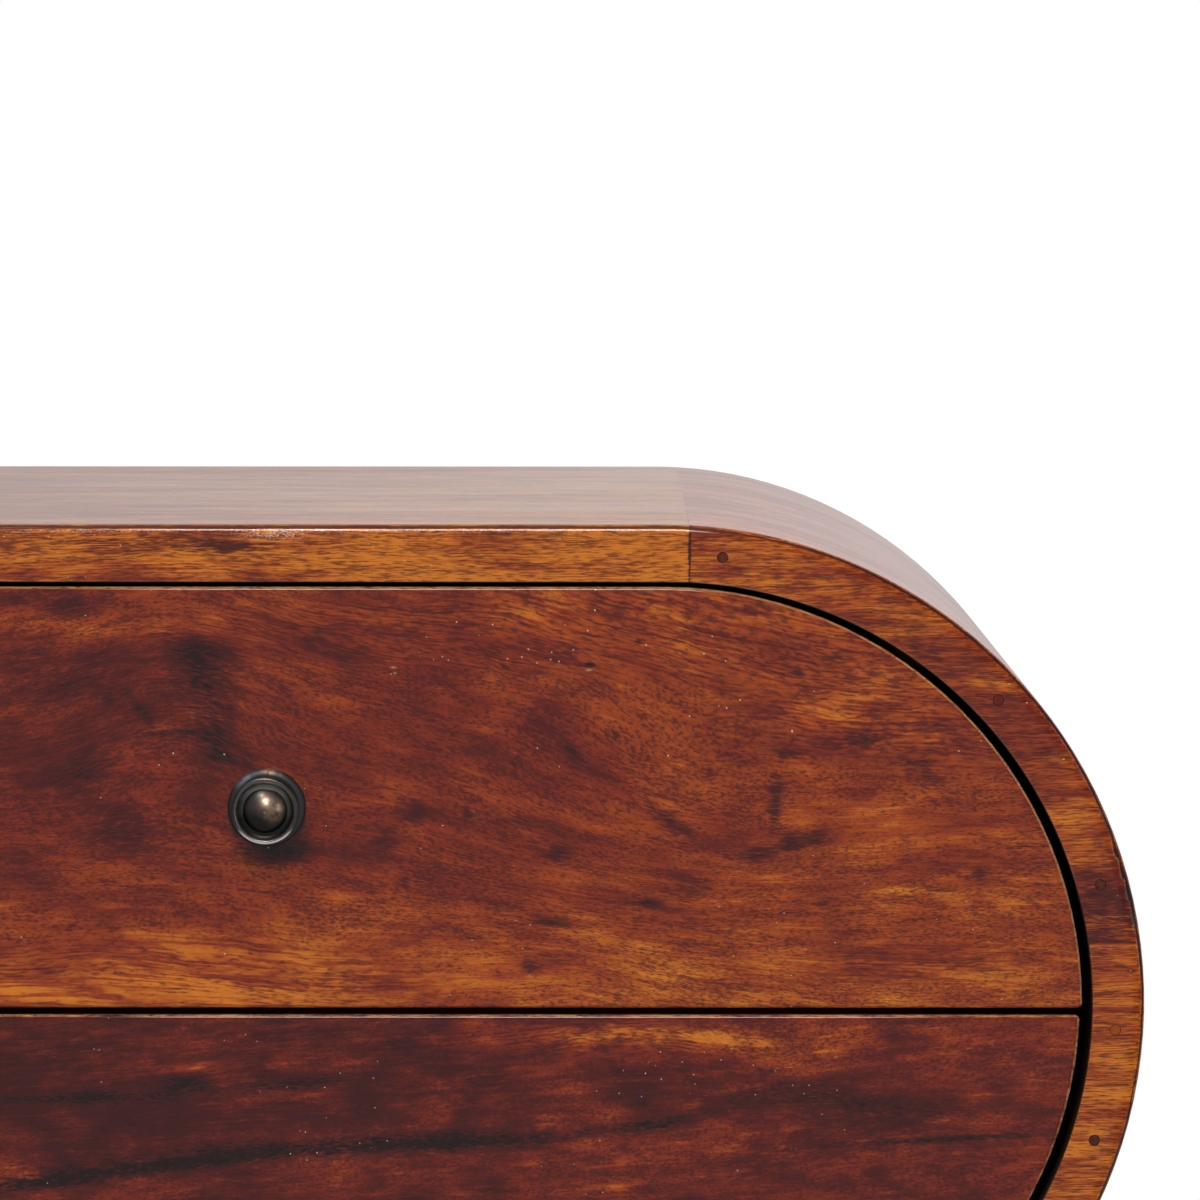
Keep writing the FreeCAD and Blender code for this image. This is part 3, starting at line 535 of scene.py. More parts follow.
def weathered(tree, place, parts, clouds, tint, colour, coat):
    """Tints the faces behind the front edge and thins their lacquer, and paints those in the opening
    near-black as shade.
    """
    uneven = calc(tree, "MULTIPLY_ADD", clouds, 1.2, parts["Y"])
    outside = fade(tree, uneven, *BEHIND_EDGE)
    past_line = fade(tree, uneven, *EDGE_LINE_STOPS)
    edge_line = calc(tree, "SUBTRACT", fade(tree, uneven, *EDGE_LINE_STARTS), past_line)
    at_end = fade(tree, calc(tree, "ABSOLUTE", parts["X"]), *ROUND_ENDS)
    line_colour = blend_colour(tree, at_end, EDGE_LINE, EDGE_LINE_ROUND)
    colour = blend_colour(tree, outside, colour, (*tint, 1.0), mode="MULTIPLY")
    colour = blend_colour(tree, calc(tree, "MULTIPLY", edge_line, EDGE_LINE_STRENGTH), colour, line_colour)
    slow = swing(tree, place, (150.0, 70.0, 150.0), 3.0)
    thicker = fade(tree, add_up(tree, 0.30, (parts["X"], 0.0022), (slow, 1.3), (clouds, 0.7)), 0.0, 1.0)
    coat = blend_value(tree, outside, coat, blend_value(tree, thicker, *OUTER_LACQUER))
    opening = use_group(tree, spine_group, {"Place": place, "Half": SHELL_INSIDE[0]})["Distance"]
    # painted shade: the faces inside the opening turn near-black
    inside = fade(tree, calc(tree, "SUBTRACT", opening, SHELL_INSIDE[1]), 0.40, 0.15)
    return blend_colour(tree, inside, colour, PAINTED_SHADE_INSIDE), blend_value(tree, inside, coat, 0.0)


print("outer faces keep", OUTER_LACQUER, "of the lacquer")

# %% [markdown]
# ## Long and short flecks
# Where the grain lies straight, the pores show as long strokes with fine hairs
# between them. Elsewhere they were cut at a slant and look like short dots. So
# the flecks are read twice, the second time in a space squeezed along the
# grain, and patches of straight grain choose between the two.

# %% Mixed flecks
SHORTER = 2.0                       # how much shorter the flecks are away from straight grain
HAIRS_ELSEWHERE = 0.4               # share of the hairs that stays there


def mixed_flecks(tree, place, grain, level, straights):
    """Pores of a board, whose flecks are long, with fine hairs, only where the grain is straight."""
    pores = use_group(tree, fleck_group, {"Grain": grain, "Level": level})
    if not straights:
        return pores["Fleck"], pores["Hair"], pores
    straight = fade(tree, patch_sum(tree, place, straights), 0.2, 0.6)
    crowded = steer(tree, "MULTIPLY", grain, (SHORTER, 1.0, 1.0))
    short = use_group(tree, fleck_group, {"Grain": crowded, "Level": level})["Fleck"]
    fleck = blend_value(tree, straight, short, pores["Fleck"])
    kept = calc(tree, "MULTIPLY_ADD", straight, 1.0 - HAIRS_ELSEWHERE, HAIRS_ELSEWHERE)
    return fleck, calc(tree, "MULTIPLY", pores["Hair"], kept), pores


print("flecks are", SHORTER, "times shorter away from straight grain")

# %% [markdown]
# ## Dark stain
# The stain pooled in blotches and in the patches listed for each board, and one
# patch below the upper knob is a painted shadow. Pores tear the rims of both, so
# a dark place looks like crowded flecks, not like a smudge. One sum of blotch,
# patch and pore says how dark the wood is, and where the sum is high the stain
# is almost black.

# %% Dark stain
MOST_DARK = 0.88
DARK_RANGE = (0.15, 0.95)           # sums between which the stain turns maroon
DEEP_RANGE = (0.75, 2.10)           # and then almost black
TEAR = 2.6                          # how strongly the pores tear a patch
PITTING = 0.9                       # and the blotches


def dark_stain_and_shadow(tree, dark_here, blotch, rough, blotches):
    """Maroon and near-black masks: patches times torn pores, plus blotches, through two smooth steps."""
    pitted = calc(tree, "SUBTRACT", rough, 0.5)
    torn = calc(tree, "MULTIPLY", dark_here, calc(tree, "MULTIPLY_ADD", pitted, TEAR, 1.0))
    ragged = add_up(tree, torn, (blotch, 2.0 * blotches), (pitted, PITTING))
    pooled_stain_and_shadow = calc(tree, "MULTIPLY", fade(tree, ragged, *DARK_RANGE), MOST_DARK)
    return pooled_stain_and_shadow, fade(tree, ragged, *DEEP_RANGE)


print("dark stain from", DARK_RANGE, "and almost black from", DEEP_RANGE)

# %% [markdown]
# ## A lacquered board
# Every shell board, drawer front and leg is the same recipe with its own
# values: where the stain is light, where it lies dark, where the flecks stay
# away, and how many millimetres the grain bends down as it passes a place. One
# Principled shader has the stain as its base and the lacquer as its coat, so
# gloss and mirror images come from the shader and the lamps.

# %% Material: lacquered board
DUST_AND_GLINT = (0.48, 0.37, 0.28, 1.0)
RUBBED_LACQUER = 0.40               # how much lacquer is left along a rubbed edge
FLECK_LEVEL = 0.51
LACQUER_RELIEF = 0.0002             # metres


def lacquered_board(name, board, tone, slope=0.0, lights=(), darks=(), clears=(), bends=(), axis="X",
                    turn=0.0, wander=7.0, clouds=0.18, mottles=0.28, flecks=0.74, blotches=1.6,
                    hairs=0.14, flames=0.08, along=1.0, fine=1.0, specks=0.12, dust_and_glints=(), straights=(),
                    outer_tint=None, edge_wear_and_highlight=None):
    """The finish of one board: a tone plus its patches and noises, then darkened, dusted and worn. The
    pale specks and the pale worn edges also serve as painted glints and highlights.
    """
    material, tree, shader, place = start_material(name)
    parts = axes(tree, place)
    grain = bent_grain(tree, along_axis(tree, place, axis), board, turn, wander, bends)
    grain = steer(tree, "MULTIPLY", grain, (along, fine, fine))
    stains = use_group(tree, cloud_group, {"Grain": grain})
    dark_here = patch_sum(tree, place, darks)
    level = add_up(tree, FLECK_LEVEL, (stains["Mottles"], 0.45), (dark_here, -0.06))
    fleck, hair, pores = mixed_flecks(tree, place, grain, patch_sum(tree, place, clears, level), straights)
    tone_here = patch_sum(tree, place, lights, add_up(tree, tone, (parts["X"], slope / 100.0)))
    tone_here = add_up(
        tree, tone_here, (stains["Clouds"], 2 * clouds), (stains["Mottles"], 2 * mottles),
        (stains["Blotch"], -0.5 * blotches), (hair, -hairs), (pores["Flame"], flames))
    pooled_stain_and_shadow, deep = dark_stain_and_shadow(tree, dark_here, stains["Blotch"], pores["Rough"], blotches)
    dark = calc(tree, "MAXIMUM", calc(tree, "MULTIPLY", fleck, flecks), pooled_stain_and_shadow)
    colour = use_group(tree, stain_group, {"Tone": tone_here, "Dark": dark, "Deep": deep})["Colour"]
    specks_here = patch_sum(tree, place, dust_and_glints, specks)
    skin = use_group(tree, lacquer_group, {"Place": place, "Grain": grain, "Fleck": fleck,
                                          "Specks": specks_here})
    # pale specks of dust, which also serve as painted glints
    colour = blend_colour(tree, skin["Speck"], colour, DUST_AND_GLINT)
    coat = 1.0
    if edge_wear_and_highlight:
        rubbed, pale, wear_and_highlight_colour = edge_wear_and_highlight(tree, place, pores["Rough"], stains["Mottles"])
        colour = blend_colour(tree, pale, colour, wear_and_highlight_colour)
        coat = blend_value(tree, rubbed, coat, RUBBED_LACQUER)
    if outer_tint:
        colour, coat = weathered(tree, place, parts, stains["Clouds"], outer_tint, colour, coat)
    fill(tree, shader.inputs, {
        "Base Color": colour, "Roughness": 0.6, "Specular IOR Level": 0.0, "Coat Weight": coat,
        "Coat Roughness": 0.08, "Coat IOR": 1.5,
        "Normal": bumped(tree, skin["Height"], 0.5, LACQUER_RELIEF)})
    return material


def dress(material, *nodes):
    """Gives CAD nodes a finish by their objects' slots."""
    for node in nodes:
        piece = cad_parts[node]
        for slot in piece.material_slots:
            slot.link = "OBJECT"
            slot.material = material


print("lacquered boards can be made")

# %% [markdown]
# ## Worn drawer edges
# The drawers' front edges have been rubbed. There the lacquer is nearly gone,
# and pale wood shows through in places. That pale line also serves as a painted
# edge highlight. The distance to the edge gives the line, and the mottles and
# pores break it up. A wear function returns two masks for a board, where the
# lacquer is rubbed and where it is bare on the drawers or has painted glitter on
# the shell, and the colour that shows there.

# %% Drawer edge wear
WORN_AND_HIGHLIGHT = (0.40, 0.20, 0.085, 1.0)     # wood showing along a rubbed edge, also a painted edge highlight
RUBBED_BAND = (1.4, 1.0)            # millimetres from the edge
BARE_AND_HIGHLIGHT_LINE = (0.80, 0.45)
FRONT_EDGE = (-180.6, -181.2)       # y, between which the front face begins
PAINTED_GLINTS = [                          # painted glints on the upper front, in the worn colour
    (100.3, 499.7, 0.9, 0.35, 0, 1.0), (39.6, 500.5, 0.8, 0.3, 0, 0.9), (40.0, 498.7, 0.5, 0.3, 0, 0.9),
]


def drawer_edge_wear_and_highlight(level):
    """Wear and a painted highlight along a drawer front's round edge, and along the split on the lower
    drawer.
    """
    low, high = [1000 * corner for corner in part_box(level + "_drawer_front")]
    upper = level == "upper"
    radius = high[2] - SPINE_HEIGHT if upper else SPINE_HEIGHT - low[2]
    straight_half = high[0] - radius
    split = low[2] if upper else high[2]
    breaks = (-0.40, 0.0) if upper else (-0.20, 0.14)   # mottles between which the line breaks up

    def edge_wear_and_highlight(tree, place, rough, mottles):
        """Bands at set distances from the edge: the radius less the spine's distance, or the split's."""
        parts = axes(tree, place)
        spine = use_group(tree, spine_group, {"Place": place, "Half": straight_half})["Distance"]
        to_round = calc(tree, "SUBTRACT", radius, spine)
        to_split = calc(tree, "ABSOLUTE", calc(tree, "SUBTRACT", parts["Z"], split))
        front = fade(tree, parts["Y"], *FRONT_EDGE)
        nearest = calc(tree, "MINIMUM", to_round, to_split)
        rubbed = calc(tree, "MULTIPLY", fade(tree, nearest, *RUBBED_BAND), front)
        # bare wood along the edge, which also serves as a painted edge highlight
        bare_and_highlight = calc(tree, "MULTIPLY", fade(tree, to_round if upper else nearest, *BARE_AND_HIGHLIGHT_LINE), front)
        broken = calc(tree, "MULTIPLY", fade(tree, mottles, *breaks), fade(tree, rough, 0.30, 0.56))
        # painted glints join the pale line
        painted_glints = patch_sum(tree, place, PAINTED_GLINTS if upper else ())
        return rubbed, calc(tree, "MULTIPLY_ADD", bare_and_highlight, broken, painted_glints), WORN_AND_HIGHLIGHT
    return edge_wear_and_highlight


print("drawer edges are bare within", BARE_AND_HIGHLIGHT_LINE[0], "mm")

# %% [markdown]
# ## The shell's worn edge
# The shell's outer front edge is rubbed dull, but still shines in a few places,
# and grey glitter is painted here and there along the top as a highlight. The
# spine's distance gives the edge again, and patches say where it shines and
# where the glitter is painted.

# %% Shell edge wear
OUTER_RADIUS = 1000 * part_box("top_board")[1][2] - SPINE_HEIGHT
OUTER_HALF = 1000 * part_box("upper_right_end")[1][0] - OUTER_RADIUS
DULL_BAND = (3.2, 2.2)              # millimetres from the edge
# grey of the painted glitter highlight along the top edge
PAINTED_GLITTER_GREY = (0.60, 0.52, 0.46, 1.0)
PAINTED_GLITTER_PATCHES = [(2.5, 542.3, 9, 1.5, 0, 0.85), (-62, 543.1, 24, 0.7, 0, 0.35), (60, 543.1, 90, 0.5, 0, 0.3)]
GLOSSY_EDGE = [(14, 545, 14, 9, 0, 1.0), (-50, 545, 50, 9, 0, 0.5), (110, 545, 50, 9, 0, 0.4)]


def shell_edge_wear_and_glitter(tree, place, rough, mottles):
    """Wear and a painted glitter highlight along the shell's outer front edge. It has no need of the
    mottles.
    """
    spine = use_group(tree, spine_group, {"Place": place, "Half": OUTER_HALF})["Distance"]
    line = fade(tree, calc(tree, "SUBTRACT", OUTER_RADIUS, spine), *DULL_BAND)
    glossy = calc(tree, "MULTIPLY", patch_sum(tree, place, GLOSSY_EDGE), fade(tree, rough, 0.40, 0.60))
    rubbed = calc(tree, "MULTIPLY", line, calc(tree, "SUBTRACT", 1.0, glossy))
    glitter = fade(tree, cloud(tree, place, (1.0, 0.8, 0.45), 3.0, 0.6), 0.50, 0.60)
    front = fade(tree, axes(tree, place)["Y"], -180.0, -182.0)
    # painted glitter: grey flecks along the top edge, standing for its highlight
    painted_glitter = calc(tree, "MULTIPLY", patch_sum(tree, place, PAINTED_GLITTER_PATCHES), front)
    return rubbed, calc(tree, "MULTIPLY", painted_glitter, glitter), PAINTED_GLITTER_GREY


print("outer radius", OUTER_RADIUS, "straight half", OUTER_HALF)

# %% [markdown]
# ## The upper drawer front
# This board is reddish brown with amber along its top and bottom. A dark smear
# lies above the knob, with the grain arching over it, and small dark clusters
# of pores are scattered to its right. Each was placed one by one.

# %% Upper drawer front
UPPER_LIGHTS = [
    (59, 401, 260, 24, 0, 0.17),           # amber along the bottom
    (-66, 397.7, 18, 2.4, -8, 0.26),         # golden streaks, lower left
    (-15.4, 399.7, 28, 2.8, -8, 0.22),
    (-70, 405, 20, 6, 0, 0.13), (-40, 400, 60, 8, 0, 0.09),
    (109, 519, 170, 8, 0, 0.12),           # amber along the top
    (193, 499, 62, 24, 0, 0.11),
    (191, 448, 30, 11, 0, 0.07),           # pale lens
    (-47, 474, 14, 5, 15, 0.20),
    (-76, 515, 11, 3, 0, 0.25),
    (-50, 512, 16, 4, 0, 0.21),
    (-45, 478, 75, 42, 0, -0.13),          # redder about the smear
    (60, 478, 60, 30, 0, -0.05),
]
UPPER_DARKS = [
    (-24, 505, 13, 6, -42, 0.66), (-21, 490, 24, 24, 0, 0.62),          # the smear above the knob
    (-19.5, 499, 7, 9, -25, 0.76), (-16, 480, 6, 10, 0, 0.85), (-11, 472, 8, 4, 0, 0.55),
    (-31.2, 479.7, 9, 1.6, 0, 0.80), (-39.2, 486.7, 9, 1.6, -54, 0.70),
    (-61, 519, 10, 4, 0, 0.85), (-79.9, 521.7, 6, 2, 0, 0.60), (-70, 495, 24, 15, 0, 0.80),
    (-49.1, 490.7, 3, 2, 0, 0.70), (-57, 467, 14, 7, 0, 0.75), (-41, 450, 16, 9, 0, 0.80),
    (-68, 433, 6, 5, 0, 0.40), (-30, 430, 5, 5, 0, 0.30), (37, 445, 5, 8, 0, 0.56),
    (15, 511, 6, 4, 0, 0.50), (25, 496, 8, 9, 0, 0.50), (5.5, 520.7, 4, 1.5, 0, 0.60),
    (115.8, 508.3, 1.8, 1.2, 0, 1.12), (107.8, 479.7, 4, 2.5, -35, 1.06), (94.9, 473.7, 5, 2.5, -45, 1.06),
    (73.1, 500.7, 11, 2, -6, 0.56), (95, 494, 7, 3, 0, 0.62), (162.5, 473.7, 5, 2, -8, 0.88),
    (45, 456, 5, 5, 0, 0.88), (63, 455, 3, 3, 0, 1.00), (78, 452.7, 5, 2, 0, 0.94),
    (91, 442, 5, 3, 0, 1.00), (52, 442, 3, 4, 0, 0.62), (43, 433, 2.5, 3, 0, 0.88),
    (118.8, 426.7, 5, 1.5, 0, 1.00), (88, 420.7, 8, 1.1, -4, 1.00), (66.1, 415.7, 7, 0.9, 0, 0.94),
    (124.7, 453.7, 10, 2.6, -36, 1.06), (152.5, 441.7, 8, 2.6, 12, 1.06), (158, 455, 2.6, 5, 0, 1.00),
    (129.7, 403.7, 6, 2.5, 25, 0.75), (82, 407, 3, 3, 0, 0.62), (135, 433, 9, 5, 0, 0.56),
    (187, 478, 7, 4, 0, 1.06), (165.4, 498.7, 2.6, 1.2, 0, 1.06), (177.4, 503.7, 3, 1.5, 0, 0.81),
    (206, 466, 6, 3, -20, 0.81), (202.2, 470.7, 9, 1.1, 0, 0.88), (159, 464, 3, 6, 0, 0.75),
    (163, 446, 2.5, 5, 25, 0.88), (171, 447, 6, 4, 0, 0.88), (199.2, 446.7, 2.6, 2, 0, 0.88),
    (175, 426, 6, 3, -12, 0.69), (193, 427, 8, 3, 0, 0.56), (222.1, 435.7, 3, 1.5, 20, 0.88),
    (100.7, 501.3, 2.0, 1.0, 0, 1.9),      # a pit in the lacquer
    (238, 444.6, 9, 0.4, 0, 1.3),          # hairline crack at the right edge
    (1.5, 443, 11, 4.5, 0, 1.9), (11, 449, 3, 6, 0, 0.9),     # painted shadow below the knob
]
UPPER_CLEARS = [
    (-50, 398, 50, 6, 0, 0.12), (194, 451, 24, 6, 0, 0.10), (-45, 413, 36, 10, 0, 0.06),
    (65, 403, 22, 7, 0, 0.10), (91, 430, 12, 4, 0, 0.06), (5, 409, 40, 8, 0, 0.05),
]
UPPER_DUST_AND_GLINTS = [(120, 508, 70, 14, 0, 0.5), (48, 508, 14, 10, 0, 0.9), (0, 470, 18, 10, 0, 0.3)]
UPPER_STRAIGHTS = [
    (120, 512, 150, 13, 0, 1.0), (205, 488, 60, 20, 0, 0.9), (-30, 402, 80, 14, 0, 0.9),
    (200, 408, 50, 8, 0, 0.6),
]
UPPER_BENDS = [                     # the grain arches over the smear, then falls away to the right
    (-28, 490, 36, 44, 0, -13), (260, 478, 190, 90, 0, 40), (135, 452, 55, 34, 0, 14),
    (90, 406, 40, 16, 0, -6),
]
upper_front_lacquer = lacquered_board(
    "upper_front_lacquer", 1, 0.635, 0.03, UPPER_LIGHTS, UPPER_DARKS, UPPER_CLEARS, UPPER_BENDS,
    wander=8.0, mottles=0.23, hairs=0.24, along=0.75, dust_and_glints=UPPER_DUST_AND_GLINTS, straights=UPPER_STRAIGHTS,
    edge_wear_and_highlight=drawer_edge_wear_and_highlight("upper"))
dress(upper_front_lacquer, "upper_drawer_front")
print("upper drawer front dressed with", len(UPPER_DARKS), "dark patches")

# %% [markdown]
# ## The lower drawer front
# This board is much darker. A long near-black band rises across it, a thinner
# one runs above that, and amber flames lie under the split near its middle.

# %% Lower drawer front
LOWER_LIGHTS = [
    (103, 385, 25, 4, 2, 0.57), (139, 384, 17, 4, 0, 0.46), (158, 379, 10, 5, -20, 0.27),   # amber flames
    (52.2, 384.3, 3, 1.4, 0, 0.25), (68.1, 383.7, 4, 1.4, 0, 0.25),
    (-26.3, 374.7, 23, 1.5, 2, 0.22), (-10.4, 371.7, 7, 1.6, 0, 0.24),                      # red streaks
    (-29.3, 370.7, 4, 1.3, 0, 0.20),
    (-48, 384, 15, 3, 0, 0.06), (-42.7, 347.7, 2.4, 1.6, 0, 0.28), (-53.1, 362.7, 3, 2, 0, 0.15),
    (10.5, 365.7, 3, 1.6, 0, 0.15), (20.9, 361.7, 3, 2.6, 0, 0.18), (19.4, 352.7, 4, 1.4, 0, 0.22),
    (9.1, 351.4, 2.4, 1.6, 0, 0.18), (-6.4, 364.7, 3, 1.4, 0, 0.15), (-24.3, 364.7, 3, 1.4, 0, 0.18),
    (-79, 344, 7, 4, 0, 0.15), (0, 340, 90, 6, 3, 0.09),
    (89.9, 359.7, 5, 1.6, 0, 0.28), (106.3, 360.2, 6, 1.6, 0, 0.26), (68.1, 357.7, 6, 1.6, 0, 0.20),
    (139.6, 365.7, 10, 1.6, 18, 0.24), (93.9, 367.7, 5, 1.6, 0, 0.14), (143, 354, 11, 4, 0, 0.12),
    (116.8, 338.7, 40, 1.2, 6, 0.22), (171.4, 348.7, 17, 1.2, 10, 0.20),
    (172, 381, 22, 10, 0, 0.20), (218, 381, 20, 8, 0, 0.17), (223, 346, 26, 14, 0, 0.06),
]
LOWER_DARKS = [
    (-80, 338, 18, 3.0, 8, 1.3), (-55, 341, 24, 2.6, 9, 1.4), (-22, 345.6, 26, 2.5, 7, 1.5),   # long band
    (-40, 347.5, 30, 1.2, 8, 0.5), (20, 349.6, 30, 2.6, 4, 1.5), (60, 351.5, 24, 2.6, 2, 1.4),
    (40, 353.6, 40, 1.1, 4, 0.5), (101, 355, 27, 2.4, 7, 1.2), (124, 357, 10, 2.6, 8, 1.0),
    (-45, 358, 60, 16, 0, 0.58), (30, 345, 90, 14, 3, 0.28),                     # its dark surround
    (-57.1, 365.7, 23, 2.0, 2, 1.5), (-25, 370, 9, 3, 0, 1.5), (7.5, 369.7, 16, 2.4, 5, 1.6),   # thin band
    (31.3, 372.7, 12, 1.6, 8, 0.65), (32, 362, 10, 6, 0, 0.50),
    (160, 368, 22, 4, 8, 0.75), (168, 365, 20, 3, 4, 0.55), (197, 362, 30, 5, -4, 0.75),
    (185, 352, 50, 10, 2, 0.45),
    (63.1, 370.7, 3.6, 2.2, 0, 0.80), (107.8, 377.1, 7, 1.3, 0, 0.90), (123.7, 378.3, 3, 2.6, 0, 0.80),
    (155.5, 373.7, 5, 2, 15, 0.80), (99.5, 378.7, 2.6, 1.2, 0, 0.80), (60, 361, 3, 3, 0, 0.70),
    (116.8, 364.2, 2.6, 2.6, 0, 0.80), (57.2, 379.7, 17, 1.0, 0, 0.70), (57.2, 374.7, 16, 1.7, 0, 0.80),
    (195, 387, 8, 4, 0, 0.60), (204.2, 389.7, 9, 1.0, 0, 0.90), (240.9, 371.7, 10, 2.2, 0, 0.60),
    (215.1, 352.7, 32, 1.0, 3, 1.4),
]
LOWER_DUST_AND_GLINTS = [
    (24, 378, 8, 4, 0, 0.9), (20, 350, 60, 5, 5, 0.7), (80, 362, 50, 12, 0, 0.7),
    (-50, 342, 30, 4, 8, 0.6), (150, 374, 30, 10, 0, 0.6),
]
LOWER_STRAIGHTS = [(105, 384, 34, 7, 0, 1.0), (-26, 373, 34, 5, 0, 0.8), (215, 353, 32, 3, 0, 0.8)]
LOWER_BENDS = [(105, 384, 30, 14, 0, -3), (165, 380, 24, 14, 0, 3)]
lower_front_lacquer = lacquered_board(
    "lower_front_lacquer", 2, 0.335, 0.06, LOWER_LIGHTS, LOWER_DARKS, (), LOWER_BENDS, turn=3.0,
    wander=4.5, clouds=0.20, mottles=0.36, flecks=0.72, blotches=1.7, hairs=0.20, flames=0.18,
    dust_and_glints=LOWER_DUST_AND_GLINTS, straights=LOWER_STRAIGHTS, edge_wear_and_highlight=drawer_edge_wear_and_highlight("lower"))
dress(lower_front_lacquer, "lower_drawer_front")
print("lower drawer front dressed with", len(LOWER_DARKS), "dark patches")

# %% [markdown]
# ## The shell
# Six pieces make the capsule: two level boards and four round quarters. Each
# was cut from other wood, so each has a board number and a tone of its own, and
# the seams show as steps in tone. The grain of all six runs from left to right.
# The two upper quarters are the darkest, so their outer faces have a lighter
# tint, which brings them near the top board.

# %% Shell boards
SHELL_LIGHTS = {
    "top_board": [
        (-40.2, 535.7, 90, 1.6, 0, 0.10), (29.4, 530.7, 60, 1.5, -2, 0.08), (100, 537, 70, 9, 0, 0.07),
    ],
    "upper_right_end": [
        (150, 533, 30, 14, -10, 0.16), (248, 473, 9, 3, 0, 0.20), (201, 516, 22, 8, 0, 0.16),
        (252, 452, 9, 6, 0, 0.14), (225, 497, 16, 9, 45, 0.10),
    ],
    "lower_right_end": [(266, 379, 8, 5, 0, 0.10), (260, 353, 6, 3, 0, 0.12)],
}
SHELL_DARKS = {                     # a narrow tall patch is a seam
    "top_board": [
        (131.7, 536, 0.5, 14, 0, 1.6), (-45, 539, 40, 4, -2, 0.85), (-8, 538, 12, 3, 0, 0.40),
        (23.4, 530.7, 12, 2, 0, 0.40),
    ],
    "upper_right_end": [
        (131.7, 536, 0.5, 14, 0, 1.6), (203, 507, 11, 4, -30, 0.60), (228, 490, 23, 14, -45, 0.20),
        (239, 468, 14, 16, 0, 0.40), (263, 422, 18, 12, 0, 0.97), (255, 439, 11, 6, 0, 0.45),
    ],
    "upper_left_end": [
        (-131.7, 536, 0.5, 14, 0, 1.6), (-219, 496, 24, 12, 40, 0.60), (-261, 431, 16, 12, 0, 0.60),
    ],
    "lower_left_end": [(-249, 331, 20, 12, 40, 0.55)],
}
SHELL_BOARDS = {                    # board number, tone, its rise to the right, tint of the outer faces
    "top_board": (3, 0.92, 0.07, (0.84, 0.94, 1.0)),
    "bottom_board": (4, 0.76, 0.0, (1.0, 1.05, 1.0)),
    "upper_left_end": (5, 0.74, 0.0, (1.30, 1.42, 1.1)),
    "upper_right_end": (6, 0.73, 0.0, (1.30, 1.42, 1.1)),
    "lower_left_end": (7, 0.80, 0.0, (1.0, 1.05, 1.0)),
    "lower_right_end": (8, 0.88, 0.0, (0.86, 0.94, 1.0)),
}
for node, (board, tone, slope, tint) in SHELL_BOARDS.items():
    shell_lacquer = lacquered_board(
        node + "_lacquer", board, tone, slope, SHELL_LIGHTS.get(node, ()), SHELL_DARKS.get(node, ()),
        wander=5.0, along=0.6, fine=1.35, hairs=0.18, specks=0.3, outer_tint=tint, edge_wear_and_highlight=shell_edge_wear_and_glitter)
    dress(shell_lacquer, node)
print(len(SHELL_BOARDS), "shell boards dressed")

# %% [markdown]
# ## Legs and cleats
# The turned legs and the cleats under the body wear the same stain, with the
# grain running down each leg and from front to back along each cleat.

# %% Legs
LEGS = ("front_left_leg", "front_right_leg", "rear_left_leg", "rear_right_leg")
for number, node in enumerate(LEGS):
    leg_lacquer = lacquered_board(node + "_lacquer", 9 + number, 0.66, axis="Z", wander=4.0, along=0.6)
    dress(leg_lacquer, node)
cleat_lacquer = lacquered_board("cleat_lacquer", 13, 0.55, axis="Y", wander=4.0, along=0.6)
dress(cleat_lacquer, "left_leg_cleat", "right_leg_cleat")
print("legs and cleats dressed")

# %% [markdown]
# ## Bare wood inside
# Drawer sides, partitions and runners are the same hardwood without stain:
# brown, dry and dull. The clouds and flecks are read from the same groups, but
# a paler ramp colours them and no lacquer covers them.

# %% Bare hardwood and thin panels
BARE = [(0.0, (0.10, 0.05, 0.025)), (0.5, (0.30, 0.17, 0.085)), (1.0, (0.50, 0.33, 0.19))]
PANEL = [(0.0, (0.05, 0.020, 0.010)), (0.5, (0.16, 0.070, 0.030)), (1.0, (0.30, 0.150, 0.070))]


def bare_board(name, board, ramp, axis, roughness):
    """Unlacquered wood: clouds and flecks on a ramp of its own."""
    material, tree, shader, place = start_material(name)
    lie = along_axis(tree, place, axis)
    grain = use_group(tree, grain_group, {"Place": lie, "Board": board, "Wander": 6.0})["Grain"]
    stains = use_group(tree, cloud_group, {"Grain": grain})
    level = calc(tree, "MULTIPLY_ADD", stains["Mottles"], 0.4, FLECK_LEVEL)
    pores = use_group(tree, fleck_group, {"Grain": grain, "Level": level})
    tone = add_up(tree, 0.62, (stains["Clouds"], 0.5), (stains["Mottles"], 0.3), (pores["Fleck"], -0.16),
                  (pores["Hair"], -0.12))
    height = add_up(tree, 0.0, (pores["Fleck"], -1.0), (pores["Hair"], -1.0))
    fill(tree, shader.inputs, {
        "Base Color": colour_ramp(tree, tone, ramp), "Specular IOR Level": 0.25,
        "Roughness": blend_value(tree, pores["Fleck"], roughness, roughness + 0.12),
        "Normal": bumped(tree, height, 0.4, 0.0002)})
    return material


side_wood = bare_board("bare_side_wood", 20, BARE, "Y", 0.6)
cross_wood = bare_board("bare_cross_wood", 21, BARE, "X", 0.6)
peg_wood = bare_board("bare_peg_wood", 22, BARE, "Z", 0.6)
panel_wood = bare_board("thin_panel_wood", 23, PANEL, "X", 0.45)
for level in ("upper", "lower"):
    dress(side_wood, level + "_drawer_left_side", level + "_drawer_right_side", level + "_left_runner",
          level + "_right_runner")
    dress(cross_wood, level + "_drawer_back")
    dress(peg_wood, level + "_stop_button")
    dress(panel_wood, level + "_drawer_bottom")
dress(side_wood, "left_partition", "right_partition")
dress(cross_wood, "divider_board", "divider_dowels", "shell_dowels")
dress(panel_wood, "back_panel")
print("inside boards dressed")

